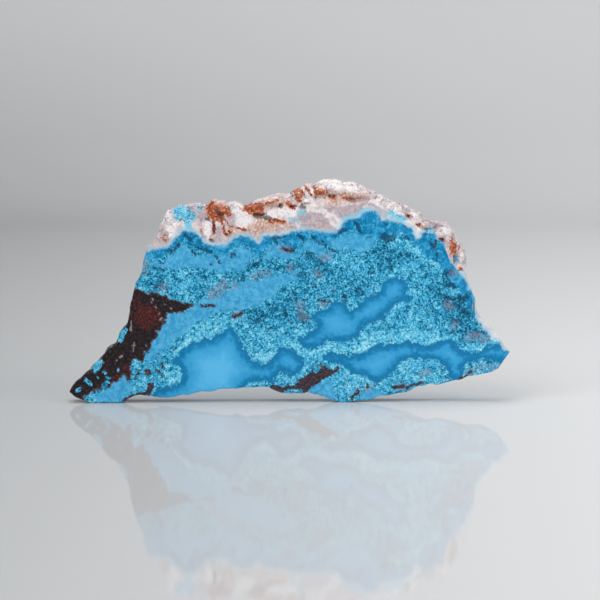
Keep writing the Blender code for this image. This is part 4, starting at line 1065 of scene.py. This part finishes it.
def rock_grain():
    """Height in mm of a broken surface: coarse steps and hackles."""
    start = {"Position": ORIGIN, "Depth": 1.0}
    tree, given, result = new_group("Rock grain", start, {"Height": "Float"})
    steps = times(tree, noise(tree, given["Position"], 0.5, 5.0, 0.7, 0.4), 0.55)
    hackles = times(tree, cells(tree, given["Position"], 1.1), -0.16)
    height = times(tree, plus(tree, steps, hackles), given["Depth"])
    wire(tree, result, {"Height": height})
    return tree


def saw_marks():
    """Height in mm of a sawn face: arcs of a large blade about 0.66 mm apart, and fine grit."""
    tree, given, result = new_group("Saw marks", {"Position": ORIGIN}, {"Height": "Float"})
    place = given["Position"]
    moved = put(tree, "VectorMath", {0: place, 1: SAW_CENTRE}, operation="ADD").outputs[0]
    flat = put(tree, "VectorMath", {0: moved, 1: (1.0, 0.0, 1.0)}, operation="MULTIPLY").outputs[0]
    reach = put(tree, "VectorMath", {0: flat}, operation="LENGTH").outputs["Value"]
    wobble = times(tree, noise(tree, place, 0.12, 2.0), 2.4)
    turn = times(tree, plus(tree, reach, wobble), 9.5)
    arcs = times(tree, calc(tree, "SINE", turn), 0.012)
    arcs = times(tree, arcs, noise(tree, place, 0.07, 2.0))
    grit = times(tree, noise(tree, place, 4.0, 3.0, 0.7), 0.05)
    wire(tree, result, {"Height": plus(tree, arcs, grit)})
    return tree


GROUPS = {
    "edge": ragged_edge(),
    "stone": speckled_stone(),
    "quartz": milky_quartz(),
    "rock": rock_grain(),
    "saw": saw_marks(),
}


def start_material(name):
    """An empty material with its node tree, its shader and the position in mm."""
    made = bpy.data.materials.new(name)
    made.use_nodes = True
    tree = made.node_tree
    coords = tree.nodes.new("ShaderNodeTexCoord").outputs["Object"]
    scaled = {0: coords, 1: (1.0 / MM, 1.0 / MM, 1.0 / MM)}
    place = put(tree, "VectorMath", scaled, operation="MULTIPLY").outputs[0]
    return made, tree, tree.nodes["Principled BSDF"], place


def field(tree, title):
    """One of the piece's depth fields."""
    named = {"attribute_name": title, "attribute_type": "GEOMETRY"}
    return put(tree, "Attribute", {}, **named).outputs["Fac"]


def edge(tree, place, zone, wander, grain_size, softness):
    """The mask of a zone, with a ragged edge."""
    sizes = {"Wander": wander, "Grain": grain_size, "Softness": softness}
    depth = field(tree, zone + "_depth")
    return use(tree, "edge", {"Depth": depth, "Position": place, **sizes})["Mask"]


def relief(tree, shader, height, strength=1.0):
    """Wires a height in mm to the shader's normal."""
    sizes = {"Height": height, "Distance": MM, "Strength": strength}
    wire(tree, shader, {"Normal": put(tree, "Bump", sizes).outputs[0]})


def stained_and_shaded_quartz(tree, place):
    """The quartz group fed from the stain fields, and from the hollows' field for their rust and
    painted shade.
    """
    masks = {name: edge(tree, place, name.lower(), *sizes) for name, sizes in QUARTZ_STAINS_AND_SHADE.items()}
    return use(tree, "quartz", {"Position": place, **masks})


def blue_stone(tree, place):
    """The blue of the face: speckled stone, smooth sky areas, ringed pools, the azure band under
    the crust, navy gaps and reddish stains. Returns the colour and the speckled group."""
    wander = swing(tree, noise(tree, place, 0.7, 5.0, 0.66), 4.2)
    pool = plus(tree, field(tree, "pool_depth"), wander)
    halo = times(tree, span(tree, pool, -2.0, -0.7), span(tree, pool, -0.1, -0.5))
    tone = plus(tree, field(tree, "tone"), times(tree, halo, 0.55))
    speckled = use(tree, "stone", {"Position": place, "Tone": tone, "Contrast": 1.0})

    mottle = noise(tree, place, 0.8, 4.0, 0.6, 0.3)
    sky = ramp(tree, mottle, (0.32, 46, 146, 200), (0.46, 66, 166, 216), (0.66, 96, 190, 230))
    sky_mask = edge(tree, place, "sky", 0.6, 0.9, 0.4)
    colour = mixed(tree, sky_mask, speckled["Color"], sky, 0.86)

    bands = times(tree, calc(tree, "SINE", times(tree, pool, 4.4)), 0.014)
    rings = plus(tree, bands, swing(tree, mottle, 0.12))
    ladder = plus(tree, times(tree, plus(tree, pool, 1.0), 0.125), rings)
    pool_colour = ramp(
        tree, ladder, (0.04, 24, 138, 182), (0.13, 2, 116, 166), (0.20, 6, 122, 174),
        (0.28, 26, 142, 196), (0.40, 54, 162, 214), (0.58, 70, 174, 226), (0.86, 92, 190, 238))
    colour = mixed(tree, span(tree, pool, -0.55, 0.15), colour, pool_colour)

    azure = ramp(
        tree, noise(tree, place, 0.7, 4.0, 0.68, 1.0),
        (0.32, 0, 92, 132), (0.43, 0, 122, 170), (0.52, 18, 144, 196), (0.64, 74, 178, 222))
    colour = mixed(tree, edge(tree, place, "azure", 0.55, 0.9, 0.3), colour, azure)
    navy_mask = edge(tree, place, "navy", 0.45, 1.7, 0.16)
    colour = mixed(tree, navy_mask, colour, shade(2, 58, 92), 0.82)
    stain = ramp(
        tree, noise(tree, place, 1.8, 3.0),
        (0.38, 84, 100, 122), (0.5, 128, 134, 152), (0.62, 168, 164, 176))
    colour = mixed(tree, edge(tree, place, "stain", 0.6, 1.6, 0.5), colour, stain, 0.42)
    return colour, speckled


def dark_stone(tree, place, under, flecks):
    """The dark zone laid over a colour: near-black grit with red patches, turquoise flecks, pale
    sparks and a brown fringe, then the brown marks outside it."""
    grit = noise(tree, place, 1.5, 4.0, 0.7, 0.3)
    dark = ramp(
        tree, grit, (0.34, 14, 9, 12), (0.48, 30, 22, 25), (0.60, 52, 40, 44), (0.74, 92, 78, 82))
    red = ramp(tree, grit, (0.36, 46, 14, 16), (0.52, 84, 30, 30), (0.7, 122, 62, 60))
    brown = ramp(
        tree, grit, (0.34, 30, 14, 16), (0.5, 60, 30, 32), (0.64, 98, 56, 54), (0.8, 150, 120, 118))
    dark = mixed(tree, edge(tree, place, "red", 0.8, 0.9, 0.5), dark, red, 0.8)
    dark = mixed(tree, edge(tree, place, "fleck", 0.3, 1.3, 0.15), dark, flecks)
    spark_mask = edge(tree, place, "spark", 0.07, 3.0, 0.1)
    dark = mixed(tree, spark_mask, dark, shade(190, 184, 188), 0.45)
    wander = swing(tree, noise(tree, place, 0.9, 5.0, 0.68), 3.6)
    depth = plus(tree, field(tree, "dark_depth"), wander)
    fringe = times(tree, span(tree, depth, -0.15, 0.0), span(tree, depth, 0.6, 0.1))
    colour = mixed(tree, span(tree, depth, -0.12, 0.12), under, dark)
    colour = mixed(tree, fringe, colour, shade(104, 78, 84), 0.5)
    return mixed(tree, edge(tree, place, "brown", 0.35, 1.8, 0.12), colour, brown, 0.95)


def polished_shattuckite():
    """The slab: every mineral zone of the face, running on over the rim and the sawn back, which
    are paler and matte."""
    made, tree, shader, place = start_material("polished_shattuckite")
    colour, speckled = blue_stone(tree, place)
    colour = dark_stone(tree, place, colour, speckled["Color"])
    quartz = stained_and_shaded_quartz(tree, place)["Color"]
    frost = mixed(tree, edge(tree, place, "cyan", 0.9, 1.6, 0.3), quartz, shade(124, 206, 228))
    glow = span(tree, field(tree, "quartz_depth"), 1.7, 0.1)
    frost = mixed(tree, glow, frost, shade(158, 208, 230), 0.7)
    colour = mixed(tree, edge(tree, place, "quartz", 0.4, 1.0, 0.45), colour, frost)

    broken, sawn = field(tree, "broken"), field(tree, "sawn")
    colour = mixed(tree, sawn, colour, mixed(tree, 0.22, colour, shade(150, 170, 176)))
    rough_spots = span(tree, noise(tree, place, 1.1, 4.0, 0.7), 0.52, 0.66)
    chips = times(tree, broken, rough_spots)
    colour = mixed(tree, chips, colour, shade(204, 216, 220), 0.45)

    matte = calc(tree, "MAXIMUM", times(tree, broken, 0.78), times(tree, sawn, 0.62))
    smear = times(tree, noise(tree, place, 0.3, 3.0), 0.10)
    roughness = plus(tree, calc(tree, "MAXIMUM", matte, 0.12), smear)
    wire(tree, shader, {"Base Color": colour, "Roughness": roughness})
    wire(tree, shader, {"IOR": 1.5, "Specular IOR Level": 0.25})

    rock = use(tree, "rock", {"Position": place, "Depth": 1.0})["Height"]
    saw = use(tree, "saw", {"Position": place})["Height"]
    pits = times(tree, speckled["Gaps"], 0.006)
    relief(tree, shader, plus(tree, times(tree, rock, broken), times(tree, saw, sawn), pits))
    return made


def rough_crust():
    """The crust: milky quartz with iron-oxide growths, blue stains and hollows dark with rust and
    painted shade.
    """
    made, tree, shader, place = start_material("quartz_and_iron_crust")
    quartz = stained_and_shaded_quartz(tree, place)
    blue = use(tree, "stone", {"Position": place, "Tone": 0.9, "Contrast": 1.1})["Color"]
    colour = mixed(tree, edge(tree, place, "cyan", 0.8, 1.5, 0.25), quartz["Color"], blue)
    roughness = plus(tree, times(tree, noise(tree, place, 0.9, 3.0), 0.3), 0.34)
    wire(tree, shader, {"Base Color": colour, "Roughness": roughness, "IOR": 1.54})
    relief(tree, shader, quartz["Height"])
    return made


def clear_quartz():
    """Small crystals: milky inside, glassy on the faces."""
    made, tree, shader, place = start_material("quartz_crystal")
    cloud = noise(tree, place, 0.8, 3.0, 0.6)
    colour = ramp(tree, cloud, (0.35, 216, 202, 206), (0.6, 248, 244, 244))
    wire(tree, shader, {"Base Color": colour, "Roughness": 0.16, "IOR": 1.54})
    wire(tree, shader, {"Transmission Weight": 0.3})
    relief(tree, shader, times(tree, noise(tree, place, 2.6, 2.0), 0.05), 0.6)
    return made


def make_slab(material):
    """The slab, with two more fields: 1 where it is sawn, and 1 where it is broken."""
    points, faces = wrap_grid(slab_grid())
    fields = mineral_fields(points)
    fields["sawn"] = blend(points[:, 1], REAR - 0.03, REAR)
    fields["broken"] = blend(points[:, 1], FRONT + 0.01, FRONT + 0.3) * (1.0 - fields["sawn"])
    add_piece("polished_slab", points, faces, material, fields)


def make_crust(material):
    """The crust. Returns its grid of points, for the crystals."""
    grid = crust_grid()
    points, faces = wrap_grid(grid)
    add_piece("quartz_crust", points, faces, material, mineral_fields(points))
    return grid


def make_crystals(material, grid, tries=620):
    """Crystals seated over the crust, more on its top than on its front, leaning at random from
    the surface they grow on and never passing the polished plane. None grows on rust, in a hollow
    or on a blue stain. About two thirds of each is sunk in the crust."""
    draw = np.random.default_rng(23)
    outer = grid[6:-6, 4:82]
    columns = draw.integers(0, outer.shape[0], tries)
    rows = (outer.shape[1] * draw.power(1.6, tries)).astype(int)
    places = outer[columns, rows]
    normals = faced(normals_of(outer), 10)[columns, rows]
    fields = mineral_fields(places)
    clean = (fields["rust_depth"] < 0.1) & (fields["hollow_depth"] < 0.0)
    kept = clean & (fields["cyan_depth"] < 0.6)
    places, normals = places[kept], normals[kept]
    count = len(places)
    radii = draw.uniform(0.16, 0.42, count) ** 1.1
    lengths = radii * draw.uniform(2.0, 3.4, count)
    leans = draw.normal(0.0, 0.42, (count, 3))
    leans[:, 1] *= 0.6
    turns = draw.uniform(0.0, math.pi, count)
    places = places - normals * (lengths * 0.62)[:, None]
    points, faces = druse(places, normals, lengths, radii, leans, turns)
    low = points[..., 1].min(axis=1)
    points[..., 1] += np.maximum(FRONT - PROUD - low, 0.0)[:, None]
    add_piece("quartz_points", points.reshape(-1, 3), faces, material, smooth=False)


def pale_sheet():
    """The floor's material: a grey that pales from left to right, and up the wall behind, under
    a thin gloss. Both palings are painted light: brighter to the right, and raised up the wall to
    even out its dimmer lighting."""
    made = bpy.data.materials.new("pale_gloss_sheet")
    made.use_nodes = True
    tree = made.node_tree
    tree.nodes.clear()
    coords = tree.nodes.new("ShaderNodeTexCoord").outputs["Object"]
    east, north, height = put(tree, "SeparateXYZ", {0: coords}).outputs
    # Painted light: the grey is paler to the right, and paler up the wall to even out its dimmer
    # lighting.
    width = plus(tree, times(tree, calc(tree, "MAXIMUM", north, 0.0), 0.26), 0.2)
    share = span(tree, calc(tree, "DIVIDE", east, width), -0.75, 0.75)
    low = ramp(tree, share, (0.0, 164, 166, 168), (1.0, 230, 231, 232))
    high = ramp(tree, share, (0.0, 222, 223, 225), (1.0, 246, 246, 246))
    grey = mixed(tree, span(tree, height, 0.0, 0.11, "LINEAR"), low, high)
    flat = put(tree, "BsdfDiffuse", {"Color": grey}).outputs[0]
    mirror = {"Color": (1.0, 1.0, 1.0, 1.0), "Roughness": 0.035}
    gloss = put(tree, "BsdfAnisotropic", mirror).outputs[0]
    both = put(tree, "MixShader", {0: 0.2, 1: flat, 2: gloss}).outputs[0]
    put(tree, "OutputMaterial", {"Surface": both})
    return made


def make_stage(half=2600.0, wall=1200.0, bend=500.0, gap=0.05):
    """Floor and backdrop in one sheet: a level run just under the feet, a quarter circle and a
    wall, carried along X."""
    start, wall_from = wall - bend, 700.0
    turn = np.linspace(0.0, math.pi / 2, 24)[1:]
    run, rise = np.linspace(-half, start, 12), np.linspace(wall_from, half, 6)
    depth = np.concatenate([run, start + bend * np.sin(turn), np.full(6, wall)])
    height = np.concatenate([np.zeros(12), bend - bend * np.cos(turn), rise])
    across = np.linspace(-half, half, 9)
    grid = np.broadcast_arrays(across[:, None], depth[None, :], height[None, :] - gap)
    rows = len(depth)
    a = (np.arange(len(across) - 1)[:, None] * rows + np.arange(rows - 1)[None, :]).ravel()
    faces = np.stack([a, a + rows, a + rows + 1, a + 1], -1)
    mesh = bpy.data.meshes.new("floor")
    mesh.from_pydata((np.stack(grid, -1).reshape(-1, 3) * MM).tolist(), [], faces.tolist())
    mesh.polygons.foreach_set("use_smooth", np.full(len(faces), True))
    mesh.materials.append(pale_sheet())
    floor = bpy.data.objects.new("floor", mesh)
    bpy.context.scene.collection.objects.link(floor)


def aim(thing, target):
    """Turns a lamp or camera so that its -Z looks at the target."""
    thing.rotation_euler = (target - thing.location).to_track_quat("-Z", "Y").to_euler()


def make_lights(target=Vector((0.0, 0.0, 0.027))):
    """Soft daylight boxes: a large one high in front on the left, a weaker one on the right, one
    over the top for the crust, and an even grey surround. Places and sizes are in metres."""
    for name, (place, size, power) in LAMPS.items():
        lamp = bpy.data.lights.new(name, "AREA")
        lamp.shape = "RECTANGLE"
        lamp.size, lamp.size_y = size
        lamp.energy = power
        thing = bpy.data.objects.new(name, lamp)
        thing.location = place
        bpy.context.scene.collection.objects.link(thing)
        aim(thing, target)
    world = bpy.data.worlds.new("surround")
    world.use_nodes = True
    background = world.node_tree.nodes["Background"]
    wire(world.node_tree, background, {"Color": (0.3, 0.305, 0.31, 1.0), "Strength": 1.0})
    bpy.context.scene.world = world


def make_camera(azimuth=-1.5, height=5.0, reach=0.8):
    """Straight on and slightly above, in degrees, at reach metres, with a long lens: 150 mm of
    the face's plane fills the frame."""
    lens = bpy.data.cameras.new("camera")
    lens.lens = 192.0
    lens.sensor_width = 36.0
    camera = bpy.data.objects.new("camera", lens)
    bpy.context.scene.collection.objects.link(camera)
    target = Vector((0.0025, -0.004, 0.02575))
    turn, tilt = math.radians(azimuth), math.radians(height)
    away = (math.sin(turn) * math.cos(tilt), -math.cos(turn) * math.cos(tilt), math.sin(tilt))
    camera.location = target + Vector(away) * reach
    aim(camera, target)
    bpy.context.scene.camera = camera


make_slab(polished_shattuckite())
make_crystals(clear_quartz(), make_crust(rough_crust()))
make_stage()
make_lights()
make_camera()
bpy.context.scene.view_settings.view_transform = "Standard"
